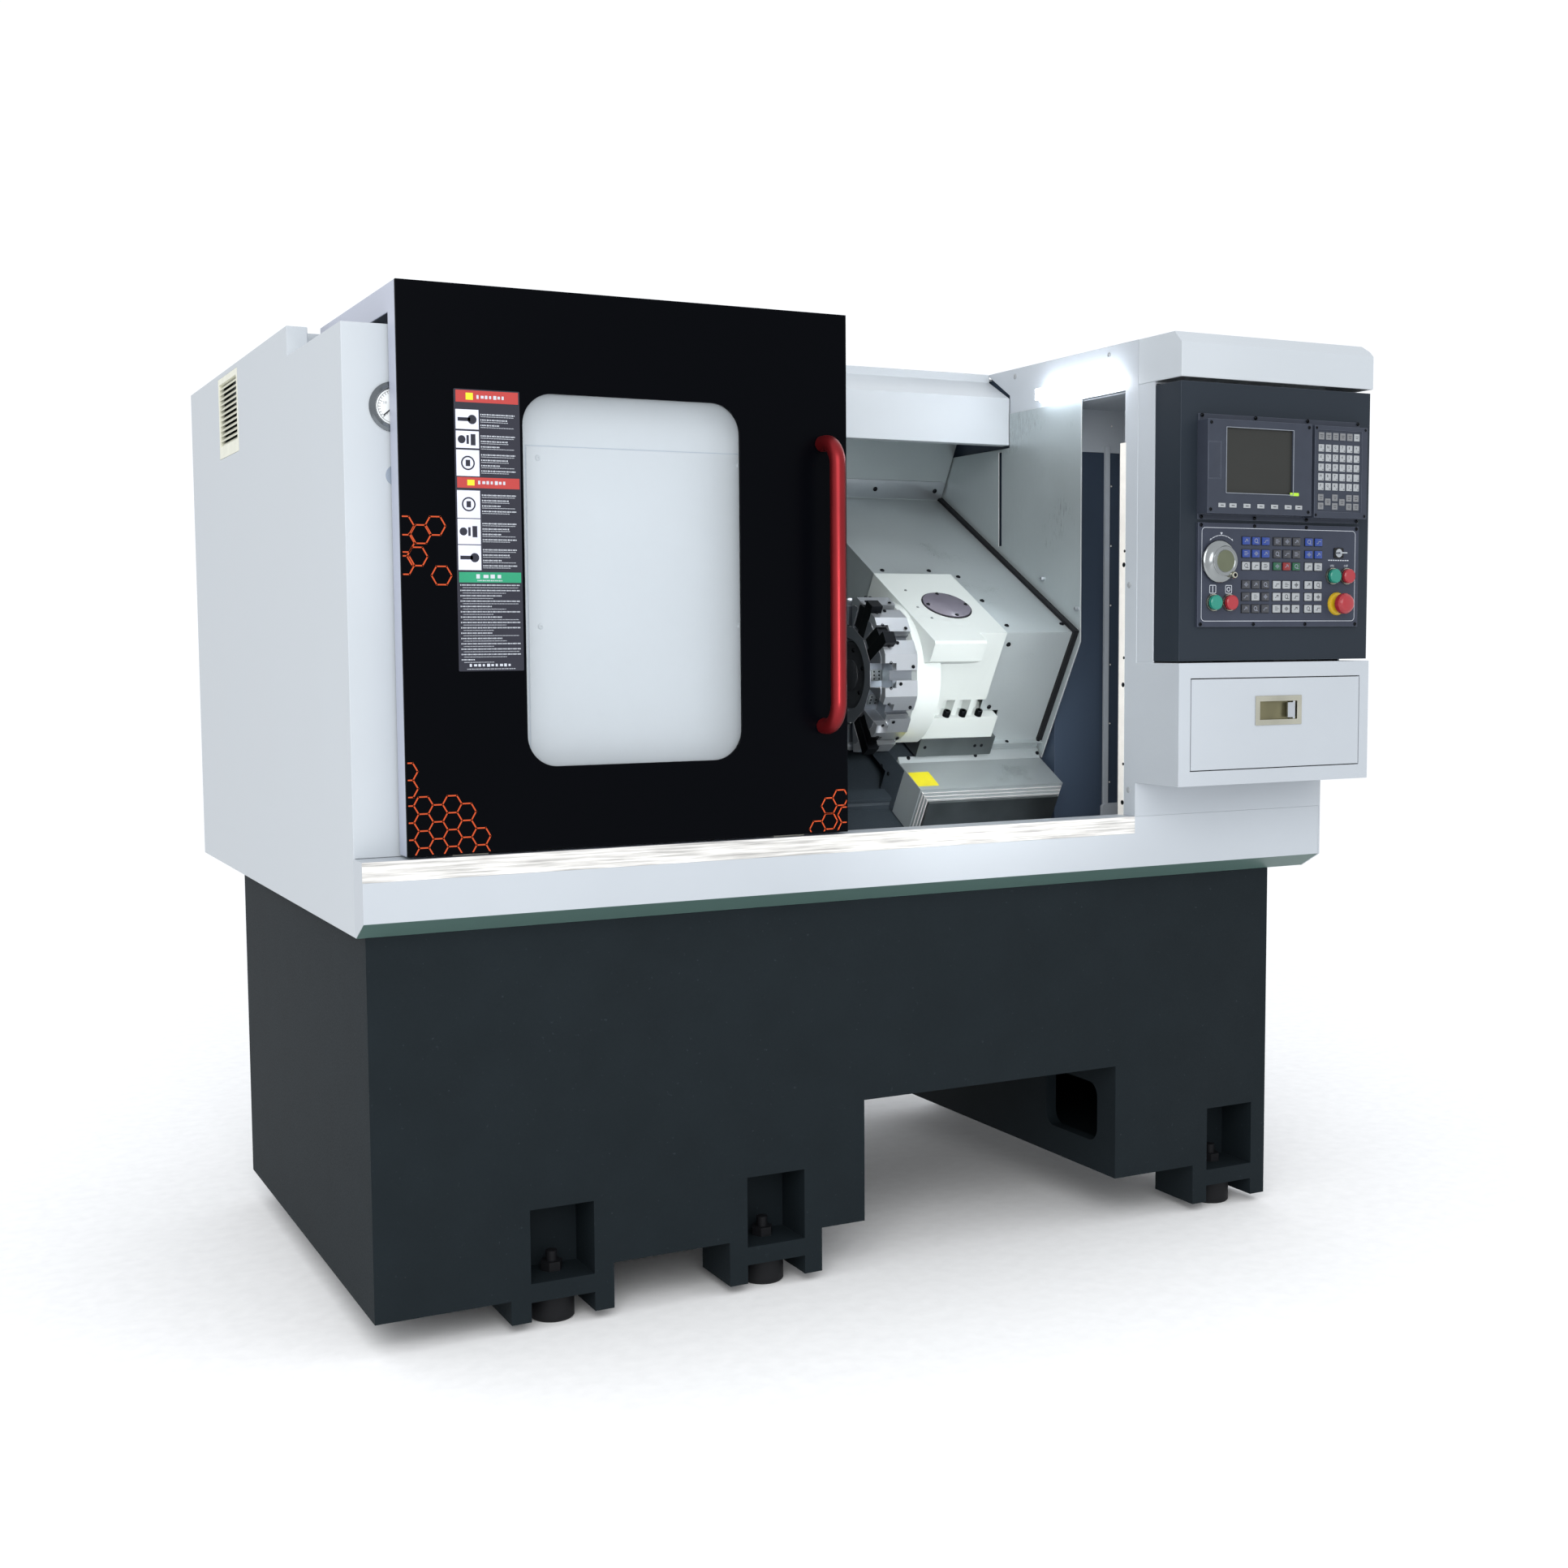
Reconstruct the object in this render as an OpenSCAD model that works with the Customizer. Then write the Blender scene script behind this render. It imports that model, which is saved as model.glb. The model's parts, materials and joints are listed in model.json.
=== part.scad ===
// Slant-bed CNC turning lathe with a twelve-station turret.
// X runs along the spindle, Y towards the back, Z up.
// The origin is the middle of the footprint, on the floor.

/* [Casing] */
// Overall width
case_w = 1993; // [1900:1:2400]
// Depth of the casing, without the knobs
case_d = 1607; // [1500:1:1950]
// Overall height
case_h = 1752; // [1752:1:2110]
// Thickness of the painted panels
sheet_t = 4; // [3:0.5:6]
// How far the emergency stop stands out of the control box
knob_reach = 34; // [30:1:40]
// Height of the lower edge of the casing
skirt_z = 704; // [680:1:720]
// Height of the door sill
sill_z = 833; // [820:1:850]
// Height of the brushed strip below the sill
strip_h = 33; // [20:1:50]
// Height of the roof over the left compartment
shoulder_z = 1690; // [1640:1:1700]
// Width of the raised rim along the left edge
rim_w = 38; // [25:1:60]
// Clearance between parts that slide past each other
run_gap = 0.3; // [0.2:0.05:0.5]

/* [Base casting] */
// Length of the base
base_w = 1885; // [1800:1:1890]
// Depth of the base
base_d = 1029; // [900:1:1100]
// Wall of the base
base_wall = 25; // [20:1:35]
// Height of the underside between the feet
base_z = 98; // [90:1:110]
// Height of the arch
arch_h = 327; // [280:1:400]
// Width of the arch
arch_w = 575; // [480:1:600]
// Width of a foot
foot_w = 188; // [180:1:200]
// Depth of a foot
foot_d = 122; // [110:1:140]
// Radius of a levelling pad
pad_r = 39; // [30:1:45]
// Radius of a levelling stud
stud_r = 10; // [8:1:12]

/* [Column and controls] */
// Width of the column
column_w = 474; // [460:1:520]
// Height of the lower edge of the hood
hood_z = 1666; // [1660:1:1670]
// Height of the lower edge of the control box
control_z = 1137; // [1135:1:1140]
// Height of the control box
control_h = 522; // [515:1:524]
// Width of the two panels
panel_w = 400; // [380:1:420]
// Radius of the handwheel
handwheel_r = 40; // [30:1:42]
// Diameter of the emergency-stop head
stop_d = 40; // [30:1:40]
// Width of the drawer front
drawer_w = 423; // [380:1:440]
// Height of the drawer front
drawer_h = 177; // [150:1:180]
// Depth of the drawer
drawer_d = 158; // [120:1:165]

/* [Door] */
// Width of the sliding door
door_w = 806; // [780:1:860]
// Depth of the door's flanges
door_d = 48; // [40:1:50]
// Gap under the door
door_gap = 4; // [3:0.5:6]
// Width of the window
window_w = 391; // [300:1:450]
// Height of the window
window_h = 611; // [500:1:650]
// Corner radius of the window
window_r = 52; // [20:1:80]
// Length of the handle, from seat to seat
handle_l = 496; // [300:1:560]
// Diameter of the handle's bar
handle_t = 28; // [20:1:32]

/* [Bed and spindle] */
// Slant of the bed
slant = 30; // [30:1:30]
// Height of the spindle axis
spindle_z = 998.6; // [990:0.1:1010]
// Distance of the spindle axis behind the front of the control box
spindle_in = 273; // [265:0.5:285]
// Radius of the chuck
chuck_r = 70; // [66:1:76]
// Length of the chuck's body
chuck_l = 72; // [60:1:80]
// Number of jaws
jaw_n = 3; // [3:1:3]
// Radius of the spindle behind the chuck
spindle_r = 52; // [45:1:56]
// Radius of the belt pulleys
pulley_r = 64; // [55:1:70]
// Stroke of a chuck jaw
jaw_stroke = 4; // [3:0.5:6]

/* [Turret and saddle] */
// Width of the saddle's splash guard
guard_w = 350; // [340:1:360]
// Thickness of the stainless sheets
steel_t = 2.5; // [2:0.5:3]
// Radius of the turret disc over its flats
disc_r = 153; // [145:1:156]
// Thickness of the turret disc
disc_l = 75; // [66:1:78]
// Number of tool stations
stations = 12; // [8:1:12]
// Width of a tool slot
slot_w = 19; // [14:0.5:22]
// width of the tool pockets in the turret disc's front
notch_w = 47; // [40:0.5:48]
// Number of nested telescopic sheets
sheet_n = 5; // [5:1:5]
// Step between the edges of the nested sheets
sheet_step = 5; // [4.5:0.5:6]

/* [Hidden] */
$fn = 64;

white = "#dfe5ea";
dark = "#262c32";
steel = "#9aa0a2";
black = "#0c0e11";

x_left = -case_w / 2;
x_right = case_w / 2;
y_front = -(case_d + knob_reach) / 2 + knob_reach;
y_back = (case_d + knob_reach) / 2;
function fy(d) = y_front + d;

// planes that several sub-parts share
y_apron = fy(131);
y_cover = fy(187);
y_step = fy(587);
y_lip = fy(651.5);
y_rear = fy(655.5);
bevel_y = 51;
bevel_z = 733;
strip_t = 2;
column_x = x_right - column_w;
column_side_y = fy(171);
shoulder_gap = 9;
rear_top = case_h - shoulder_gap;
door_x1 = x_left + 880;
door_x0 = door_x1 - door_w;
door_z0 = sill_z + door_gap;
door_stop_gap = 2;
door_travel = column_x - door_stop_gap - door_x1;
opening_x = column_x - door_stop_gap - door_w + 20.5;

// the slant frame: x along the spindle, v up the slope, w square to it
y_sp = fy(spindle_in);
z_sp = spindle_z;
function sl(v, w) = [y_sp + v * cos(slant) - w * sin(slant), z_sp + v * sin(slant) + w * cos(slant)];
module on_slant() {
    translate([0, y_sp, z_sp]) rotate([slant, 0, 0]) children();
}

// work zone, measured along the slope from the spindle axis
bed_w = -250;
bed_v0 = 20;
bed_v1 = 600;
guard_v = 141;
guard_back_v = 745;
guard_top = 144;
guard_low = -112;
guard_rise = 322;
guard_x1 = column_x - 5;
guard_x0 = guard_x1 - guard_w;
turret_v = 227;
notch_x = guard_x0 + 223;
house_x0 = guard_x0 - 8;
house_x1 = house_x0 + 184;
house_v0 = 130;
house_v1 = 375;
house_top = 150;
house_low = -47;
ring_x0 = house_x0 - 17;
ring_l = 54.5;
ring_r = 147;
disc_x0 = ring_x0 - disc_l - 0.5;
slide_top = -89;
slide_low = -132;
saddle_top = -148;
saddle_low = -190;
sheet_v = 22;
sheet_inset = 4;
sheet_skirt = 95;
lining_x = opening_x - 68;
lining_y = fy(1003.5);
chuck_x0 = lining_x + 18;
chuck_x1 = chuck_x0 + chuck_l;
bed_x0 = lining_x - 527;
bed_x1 = column_x + 3.5;
belt_x = lining_x - 420;
belt_w = 40;
motor_at = sl(530, 52);

// a block between two corners
module block(x0, x1, y0, y1, z0, z1) {
    translate([x0, y0, z0]) cube([x1 - x0, y1 - y0, z1 - z0]);
}

// a profile drawn in the upright plane across the spindle, run from x0 to x1
module along_x(x0, x1) {
    translate([x0, 0, 0]) rotate([90, 0, 90]) linear_extrude(x1 - x0) children();
}

// a profile drawn as seen from the front, run from y0 back to y1
module along_y(y0, y1) {
    translate([0, y1, 0]) rotate([90, 0, 0]) linear_extrude(y1 - y0) children();
}

// a cylinder that lies along X
module rod_x(x0, x1, r) {
    translate([x0, 0, 0]) rotate([0, 90, 0]) cylinder(h = x1 - x0, r = r);
}

// a cylinder that lies along Y and starts at the front
module rod_y(y0, y1, r) {
    translate([0, y0, 0]) rotate([-90, 0, 0]) cylinder(h = y1 - y0, r = r);
}

// a rectangle with round corners between two corners
module round_rect(x0, x1, z0, z1, r) {
    translate([x0 + r, z0]) square([x1 - x0 - 2 * r, z1 - z0]);
    translate([x0, z0 + r]) square([x1 - x0, z1 - z0 - 2 * r]);
    for (x = [x0 + r, x1 - r])
        for (z = [z0 + r, z1 - r])
            translate([x, z]) circle(r);
}

// ---------------------------------------------------------------- base
base_x0 = x_left + 15;
base_x1 = base_x0 + base_w;
base_y0 = fy(182);
base_y1 = base_y0 + base_d;
arch_x1 = base_x1 - 385;
arch_x0 = arch_x1 - arch_w;
foot_x = [base_x0 + 235, base_x0 + 646.5, base_x1 - foot_w];
foot_side = 36;
foot_z = 17;
bar_z0 = 51;
bar_z1 = 84;
pocket_z = 213;
apron_drop = 39;

module foot(x) {
    block(x, x + foot_w, 0, foot_d, foot_z, base_z + 1);
}

module foot_cuts(x) {
    inner = x + foot_side;
    width = foot_w - 2 * foot_side;
    block(inner, inner + width, -1, foot_d + 1, foot_z - 1, bar_z0);
    block(inner, inner + width, -1, foot_d - 30, bar_z1, pocket_z);
    translate([inner + width / 2, foot_d / 2, 0]) cylinder(h = bar_z1 + 1, r = stud_r + 1);
}

module base_casting() {
    color(dark) difference() {
        union() {
            block(base_x0, base_x1, base_y0, base_y1, base_z, skirt_z);
            block(base_x0, foot_x[0], base_y0, base_y1, base_z - apron_drop, base_z + 1);
            for (x = foot_x) {
                translate([0, base_y0, 0]) foot(x);
                translate([0, base_y1, 0]) mirror([0, 1, 0]) foot(x);
            }
        }
        block(arch_x0, arch_x1, base_y0 - 1, base_y1 + 1, 0, arch_h);
        for (side = [[base_x0, arch_x0], [arch_x1, base_x1]])
            block(side[0] + base_wall, side[1] - base_wall, base_y0 + foot_d + base_wall,
                  base_y1 - foot_d - base_wall, 0, skirt_z - base_wall);
        block(base_x0 + base_wall, base_x1 - base_wall, base_y0 + base_wall, base_y1 - base_wall,
              arch_h + base_wall, skirt_z - base_wall);
        block(arch_x1 + base_wall, foot_x[2] - base_wall / 2, base_y0 + base_wall, base_y0 + foot_d + base_wall + 1,
              130, arch_h + base_wall + 1);
        along_x(arch_x1 - 1, arch_x1 + base_wall + 1)
            round_rect(base_y0 + 61, base_y0 + 240, 158, 279, 28);
        for (x = foot_x) {
            translate([0, base_y0, 0]) foot_cuts(x);
            translate([0, base_y1, 0]) mirror([0, 1, 0]) foot_cuts(x);
        }
    }
}

module levelling_pads() {
    color(black)
        for (x = foot_x)
            for (y = [base_y0 + foot_d / 2, base_y1 - foot_d / 2])
                translate([x + foot_w / 2, y, 0]) {
                    rotate_extrude() polygon([[0, 0], [pad_r - 3, 0], [pad_r, 3], [pad_r, bar_z0 - 8],
                        [pad_r - 6, bar_z0], [stud_r, bar_z0], [stud_r, bar_z1 + 34], [0, bar_z1 + 36]]);
                    translate([0, 0, bar_z1]) difference() {
                        cylinder(h = 16, r = 2 * stud_r, $fn = 6);
                        translate([0, 0, -1]) cylinder(h = 18, r = stud_r - 0.5);
                    }
                }
}

// ---------------------------------------------------------------- lower casing
pan_back_y = sl(bed_v0, bed_w)[0] - 11;
pan_back_z = sl(bed_v0, bed_w)[1] - 12;

module chip_pan() {
    t = steel_t;
    y0 = y_apron + 10;
    fold = y_apron + bevel_y + 9;
    color("#c9cfd2") along_x(lining_x + t, column_x + 7)
        polygon([[fold, skirt_z], [pan_back_y, skirt_z], [pan_back_y, pan_back_z], [pan_back_y - t, pan_back_z],
            [pan_back_y - t, skirt_z + t], [fold + 1, skirt_z + t], [y0 + t, bevel_z + 11],
            [y0 + t, sill_z - sheet_t], [y0, sill_z - sheet_t], [y0, bevel_z + 9]]);
}

module apron_panel() {
    t = sheet_t;
    y1 = y_apron + bevel_y;
    z1 = sill_z - strip_h;
    color(white) {
        along_x(x_left, column_x)
            polygon([[y_cover, sill_z], [y_apron + strip_t, sill_z], [y_apron + strip_t, z1], [y_apron, z1],
                [y_apron, bevel_z], [y1, skirt_z], [y1, skirt_z + t], [y_apron + t, bevel_z + t / 2],
                [y_apron + t, z1], [y_apron + strip_t + t, z1], [y_apron + strip_t + t, sill_z - t],
                [y_cover, sill_z - t]]);
        along_x(column_x, x_right - t)
            polygon([[y_apron, sill_z], [y_apron, bevel_z], [y1, skirt_z], [y1, skirt_z + t],
                [y_apron + t, bevel_z + t / 2], [y_apron + t, sill_z]]);
        along_x(x_left, x_left + t)
            polygon([[y_cover, sill_z], [y_apron + strip_t, sill_z], [y_apron + strip_t, bevel_z],
                [y1, skirt_z], [y_cover, skirt_z]]);
    }
}

module sill_strip() {
    color("#e0dedb") block(x_left, column_x, y_apron, y_apron + strip_t, sill_z - strip_h, sill_z);
}

// ---------------------------------------------------------------- left compartment
gauge_x = x_left + 82.5;
gauge_z = shoulder_z - 131;
gauge_r = 40;
vent_y0 = fy(1053);
vent_y1 = fy(1263);
vent_z0 = rear_top - 175;
vent_z1 = rear_top - 11;

module left_cover() {
    t = sheet_t;
    rim_x = x_left + rim_w;
    color(white) difference() {
        union() {
            along_x(x_left, x_left + t)
                polygon([[y_cover, skirt_z], [y_cover, shoulder_z], [y_step, shoulder_z], [y_step, rear_top],
                    [y_back, rear_top], [y_back, skirt_z]]);
            block(x_left, opening_x, y_cover, y_cover + t, sill_z, shoulder_z);
            block(x_left, opening_x, y_cover, y_rear, shoulder_z - t, shoulder_z);
            block(x_left, rim_x, y_step, y_step + t, shoulder_z - t, rear_top);
            block(x_left, rim_x, y_step, y_back, rear_top - t, rear_top);
            block(rim_x - t, rim_x, y_step, y_back - 2 * t, shoulder_z - t, rear_top);
        }
        translate([gauge_x, 0, gauge_z]) rod_y(y_cover - 1, y_cover + t + 1, gauge_r - 3.5);
        block(x_left - 1, x_left + t + 1, vent_y0, vent_y1, vent_z0, vent_z1);
    }
}

module left_vent() {
    rim = 12;
    count = 12;
    pitch = (vent_z1 - vent_z0 - 3 * rim) / count;
    color("#e3e0c8") {
        difference() {
            block(x_left, x_left + 10, vent_y0, vent_y1, vent_z0, vent_z1);
            block(x_left - 1, x_left + 11, vent_y0 + rim, vent_y1 - rim, vent_z0 + 2 * rim, vent_z1 - rim);
        }
        for (i = [0:count - 1])
            translate([x_left, 0, vent_z0 + 2 * rim + i * pitch])
                along_y(vent_y0 + rim, vent_y1 - rim)
                    polygon([[0.5, 0], [2.5, 0], [9.5, pitch - 2], [7.5, pitch - 2]]);
    }
}

module gauge_case() {
    color("#c8ccd0") translate([gauge_x, y_cover, gauge_z]) rotate([90, 0, 0]) rotate_extrude()
        polygon([[0, -34], [gauge_r - 6, -34], [gauge_r - 4, -32], [gauge_r - 4, 0], [gauge_r, 0],
            [gauge_r, 3], [gauge_r - 4, 6], [gauge_r - 9, 6], [gauge_r - 11, 2], [0, 2]]);
}

module gauge_needle() {
    color(black) translate([gauge_x, y_cover - 2 - run_gap, gauge_z]) rotate([90, 0, 0]) {
        cylinder(h = 1.6, r = 3);
        rotate([0, 0, 130]) translate([-1, -6, 0]) cube([2, 28, 0.8]);
    }
}

// ---------------------------------------------------------------- rear casing and header
gland_d = 32;
gland_l = 26;

module rear_casing() {
    t = sheet_t;
    x0 = x_left + rim_w;
    door_gap_x = 60;
    mid = (x_left + x_right) / 2;
    color(white) difference() {
        union() {
            block(x0, x_right - t, y_rear, y_back, rear_top - t, rear_top);
            block(x0, column_x, y_rear, y_rear + t, shoulder_z - t, rear_top);
            block(x_left + t, x_right - t, y_back - 2 * t, y_back - t, skirt_z, rear_top - t);
            block(x_left + t, x_right - t, base_y1 + 2, y_back - t, skirt_z, skirt_z + t);
            for (side = [0, 1])
                block(x_left + door_gap_x + side * (mid - x_left - door_gap_x + 6),
                      mid - 6 + side * (x_right - door_gap_x - mid + 6),
                      y_back - t - 1, y_back, skirt_z + 60, rear_top - 60);
            translate([x_right - 130, y_back - 62, skirt_z - gland_l])
                cylinder(h = gland_l + 1, r = gland_d / 2);
            translate([x_right - 130, y_back - 62, skirt_z - 8])
                cylinder(h = 9, r = gland_d / 2 + 5, $fn = 6);
        }
        translate([x_right - 130, y_back - 62, skirt_z - gland_l - 1])
            cylinder(h = gland_l + t + 2, r = gland_d / 2 - 7);
        for (side = [-1, 1])
            for (i = [0:9])
                translate([mid + side * 460, 0, skirt_z + 120 + i * 18])
                    block(-120, 120, y_back - 2 * t - 1, y_back + 1, 0, 6);
    }
}

module header_beam() {
    t = sheet_t;
    foot_y = fy(572.5);
    z_fold = case_h - 60;
    z_low = case_h - 159;
    color(white) along_x(opening_x + 1, column_x - 0.5)
        polygon([[y_lip, case_h], [y_lip, case_h - 17], [foot_y, z_fold], [foot_y, z_low], [foot_y + 28, z_low],
            [foot_y + 28, z_low + t], [foot_y + t, z_low + t], [foot_y + t, z_fold - 2], [y_lip + 3.5, case_h - 19.5],
            [y_lip + 3.5, case_h]]);
}

// ---------------------------------------------------------------- column
jamb_y = fy(413.5);
jamb_x1 = column_x + 170;
strip_x = jamb_x1 - 41;
strip_w = 12;
jamb_foot_z = sill_z - 1;
recess_z0 = sill_z;
recess_z1 = case_h - 184;
band_z = case_h - 92;
drawer_x0 = column_x + 28;
drawer_z0 = skirt_z + 223;
case_z0 = drawer_z0 - 28;
case_z1 = drawer_z0 + drawer_h + 29;
liner_t = 2;
drawer_back = y_front + drawer_d + 5;

module drawer_liner(grow) {
    block(drawer_x0 - grow, drawer_x0 + drawer_w + grow, y_front + sheet_t - 1, drawer_back,
          drawer_z0 - grow, drawer_z0 + drawer_h + grow);
}

module column_shell() {
    t = sheet_t;
    color(white) {
        difference() {
            union() {
                block(column_x, x_right, y_apron, y_apron + t, sill_z, case_h);
                block(column_x, column_x + t, y_apron, column_side_y, sill_z, case_h);
                along_x(x_right - t, x_right)
                    polygon([[y_apron, case_h], [y_apron, bevel_z], [y_apron + bevel_y, skirt_z],
                        [y_back, skirt_z], [y_back, case_h]]);
                block(column_x, x_right, y_front, y_front + t, case_z0, case_z1);
                block(column_x, column_x + t, y_front, y_apron + t, case_z0, case_z1);
                block(x_right - t, x_right, y_front, y_apron + t, case_z0, case_z1);
                block(column_x, x_right, y_front, y_apron + t, case_z0, case_z0 + t);
                block(column_x, x_right, y_front, y_apron + t, case_z1 - t, case_z1);
                for (x = [column_x + 1, x_right - 1 - t])
                    block(x, x + t, y_front + box_d, y_apron + 1, case_z1 - 1, hood_z);
                block(column_x + 1, x_right - 1, y_front + box_d, y_apron + 1, hood_z - t, hood_z);
                drawer_liner(liner_t);
            }
            translate([0, -t - 2, 0]) drawer_liner(0);
            drawer_liner(0);
        }
        along_x(column_x, column_x + t)
            polygon([[column_side_y - 1, band_z], [column_side_y - 1, case_h], [fy(661), case_h],
                [fy(572.5), case_h - 54], [fy(572.5), band_z]]);
        block(column_x, x_right, y_apron, fy(661), case_h - t, case_h);
        block(column_x, jamb_x1 + 14, column_side_y - t, column_side_y, sill_z, band_z);
        block(jamb_x1 + 10, jamb_x1 + 14, column_side_y - 1, jamb_y + t, sill_z, band_z);
        block(column_x + t + 1, jamb_x1 + 11, column_side_y - 1, jamb_y, band_z - t, band_z);
        block(column_x + 7.5 + t, jamb_x1 + 11, jamb_y, jamb_y + t, recess_z1, band_z);
        block(jamb_x1, jamb_x1 + 11, jamb_y, jamb_y + t, sill_z, recess_z1 + 1);
        block(strip_x, strip_x + strip_w, jamb_y - strip_w / 2, jamb_y, jamb_foot_z - 8, recess_z1);
        block(strip_x, strip_x + strip_w, jamb_y - strip_w / 2, jamb_y + t, recess_z1, recess_z1 + 12);
        difference() {
            block(strip_x - 4, jamb_x1 + 11, jamb_y - strip_w / 2 - 2, jamb_y, skirt_z + 40, jamb_foot_z);
            translate([strip_x - 4, 0, jamb_foot_z]) rotate([0, 45, 0])
                block(-4, 4, jamb_y - strip_w, jamb_y + 1, -4, 4);
        }
    }
}

module column_hood() {
    t = sheet_t;
    color(white) difference() {
        along_x(column_x, x_right)
            polygon([[y_front, hood_z], [y_front, case_h - 22], [y_front + 21, case_h], [y_apron - 0.3, case_h],
                [y_apron - 0.3, hood_z]]);
        along_x(column_x + t, x_right - t)
            polygon([[y_front + t, hood_z - 1], [y_front + t, case_h - 24], [y_front + 23, case_h - t],
                [y_apron - t, case_h - t], [y_apron - t, hood_z - 1]]);
        translate([x_right, 0, case_h]) rotate([0, 45, 0]) block(-8, 8, y_front - 1, y_apron + 1, -8, 8);
    }
}

// ---------------------------------------------------------------- controls
box_d = 81;
box_inset = 3;
panel_x0 = column_x + 42;
unit_z0 = control_z + 266;
unit_h = 197;
plate_z0 = control_z + 64;
plate_h = 196;
panel_t = 5;
face_y = y_front + panel_t;

module control_box() {
    t = sheet_t;
    z1 = control_z + control_h;
    color("#39414a") difference() {
        union() {
            block(column_x + box_inset, x_right - box_inset, face_y, y_front + box_d, control_z, z1);
        }
        block(column_x + box_inset + t, x_right - box_inset - t, face_y + t, y_front + box_d - t, control_z + t,
              z1 - t);
        for (p = round_holes)
            translate([panel_x0 + p[0], 0, plate_z0 + p[1]]) rod_y(face_y - 1, face_y + t + 1, p[2]);
    }
}

screen_x0 = panel_x0 + 44;
screen_w = 162;
screen_z0 = unit_z0 + 49;
screen_h = 121;
bezel_w = 252.5;
unit_out = 26;
unit_y = y_front - unit_out;
pad_x0 = panel_x0 + 260;
pad_x1 = panel_x0 + 394;

module control_unit() {
    z0 = unit_z0 + 10;
    z1 = unit_z0 + 184.5;
    color("#2f343b") difference() {
        union() {
            block(panel_x0, panel_x0 + panel_w, y_front + 2, face_y, unit_z0, unit_z0 + unit_h);
            block(panel_x0, panel_x0 + bezel_w, unit_y, y_front + 3, z0, z1);
            block(panel_x0 + bezel_w - 1, pad_x0 + 1, unit_y + 8, y_front + 3, z0 + 2, z1 - 2);
            block(pad_x0, pad_x1, unit_y, y_front + 3, z0 - 2.5, z1 - 1);
        }
        block(screen_x0, screen_x0 + screen_w, unit_y - 1, unit_y + 6, screen_z0, screen_z0 + screen_h);
        block(pad_x0 + 8, pad_x1 - 14, unit_y - 1, unit_y + 2, unit_z0 + 19, unit_z0 + 176);
        difference() {
            block(panel_x0 + 0.5, panel_x0 + 31, unit_y - 1, unit_y + 0.8, unit_z0 + 74, unit_z0 + 143);
            block(panel_x0 + 2, panel_x0 + 29.5, unit_y - 2, unit_y + 2, unit_z0 + 75.5, unit_z0 + 141.5);
        }
    }
}

module lcd_screen() {
    color("#4a5253")
        block(screen_x0, screen_x0 + screen_w, unit_y + 4, unit_y + 6, screen_z0, screen_z0 + screen_h);
}

module operator_panel() {
    color("#343a42") difference() {
        block(panel_x0, panel_x0 + panel_w, y_front, face_y, plate_z0, plate_z0 + plate_h);
        for (p = round_holes)
            translate([panel_x0 + p[0], 0, plate_z0 + p[1]]) rod_y(y_front - 1, face_y + 1, p[2]);
    }
}

// places on the operator panel, from its lower left corner
wheel_at = [47.5, 123.5];
start_at = [36.5, 46];
hold_at = [74.5, 46];
power_on_at = [331.5, 98.5];
power_off_at = [367.5, 98.5];
stop_at = [344.5, 44.5];
key_at = [347, 143.5];
button_hole = 8.5;
shaft_hole = 5.5;
round_holes = [
    [wheel_at[0], wheel_at[1], shaft_hole], [start_at[0], start_at[1], button_hole],
    [hold_at[0], hold_at[1], button_hole], [power_on_at[0], power_on_at[1], button_hole],
    [power_off_at[0], power_off_at[1], button_hole], [stop_at[0], stop_at[1], button_hole],
    [key_at[0], key_at[1], button_hole]
];

module key_cap(x, z, w, h, y, t) {
    block(x - w / 2, x + w / 2, y - t, y, z - h / 2, z + h / 2);
}

key_cols = [114.5, 138.5, 162.5, 191, 215, 239, 270.5, 295];
key_rows = [34.5, 57.5, 80.5, 116, 139.5, 163.5];
unit_pitch = 18;
unit_col = 277;

module key_caps() {
    pad_y = unit_y + 2;
    color("#e8eaec") {
        for (x = key_cols)
            for (z = key_rows)
                key_cap(panel_x0 + x, plate_z0 + z, 19, 15, y_front, 2.4);
        for (i = [0:5])
            for (z = [67.5, 85.9, 104.3, 122.7, 141.1, 164])
                key_cap(panel_x0 + unit_col + i * unit_pitch, unit_z0 + z, 14, 14, pad_y, 1.6);
        for (i = [0, 2, 4, 5])
            for (z = [30, 46.5])
                key_cap(panel_x0 + unit_col + i * unit_pitch, unit_z0 + z, 14, 13, pad_y, 1.6);
        for (i = [1, 3])
            key_cap(panel_x0 + unit_col + i * unit_pitch, unit_z0 + 38.3, 14, 13, pad_y, 1.6);
        for (x = [33.5, 59.8, 93.5, 127.1, 160.7, 194.2, 220.5])
            key_cap(panel_x0 + x, unit_z0 + 25.2, 17, 8, unit_y, 1.4);
    }
}

module at_panel(p) {
    translate([panel_x0 + p[0], y_front, plate_z0 + p[1]]) rotate([90, 0, 0]) children();
}

module handwheel() {
    color("#c4c8cc") at_panel(wheel_at) {
        translate([0, 0, -14]) cylinder(h = 16, r = shaft_hole - run_gap);
        rotate_extrude() polygon([[0, run_gap], [handwheel_r, run_gap], [handwheel_r, 8], [handwheel_r - 3, 11],
            [handwheel_r - 9, 11], [handwheel_r - 11, 14], [handwheel_r - 16, 22], [handwheel_r - 19, 24], [0, 24]]);
        rotate([0, 0, -55]) translate([handwheel_r - 8, 0, 10]) {
            cylinder(h = 8, r = 4);
            translate([0, 0, 7]) cylinder(h = 12, r = 7);
        }
    }
}

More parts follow.
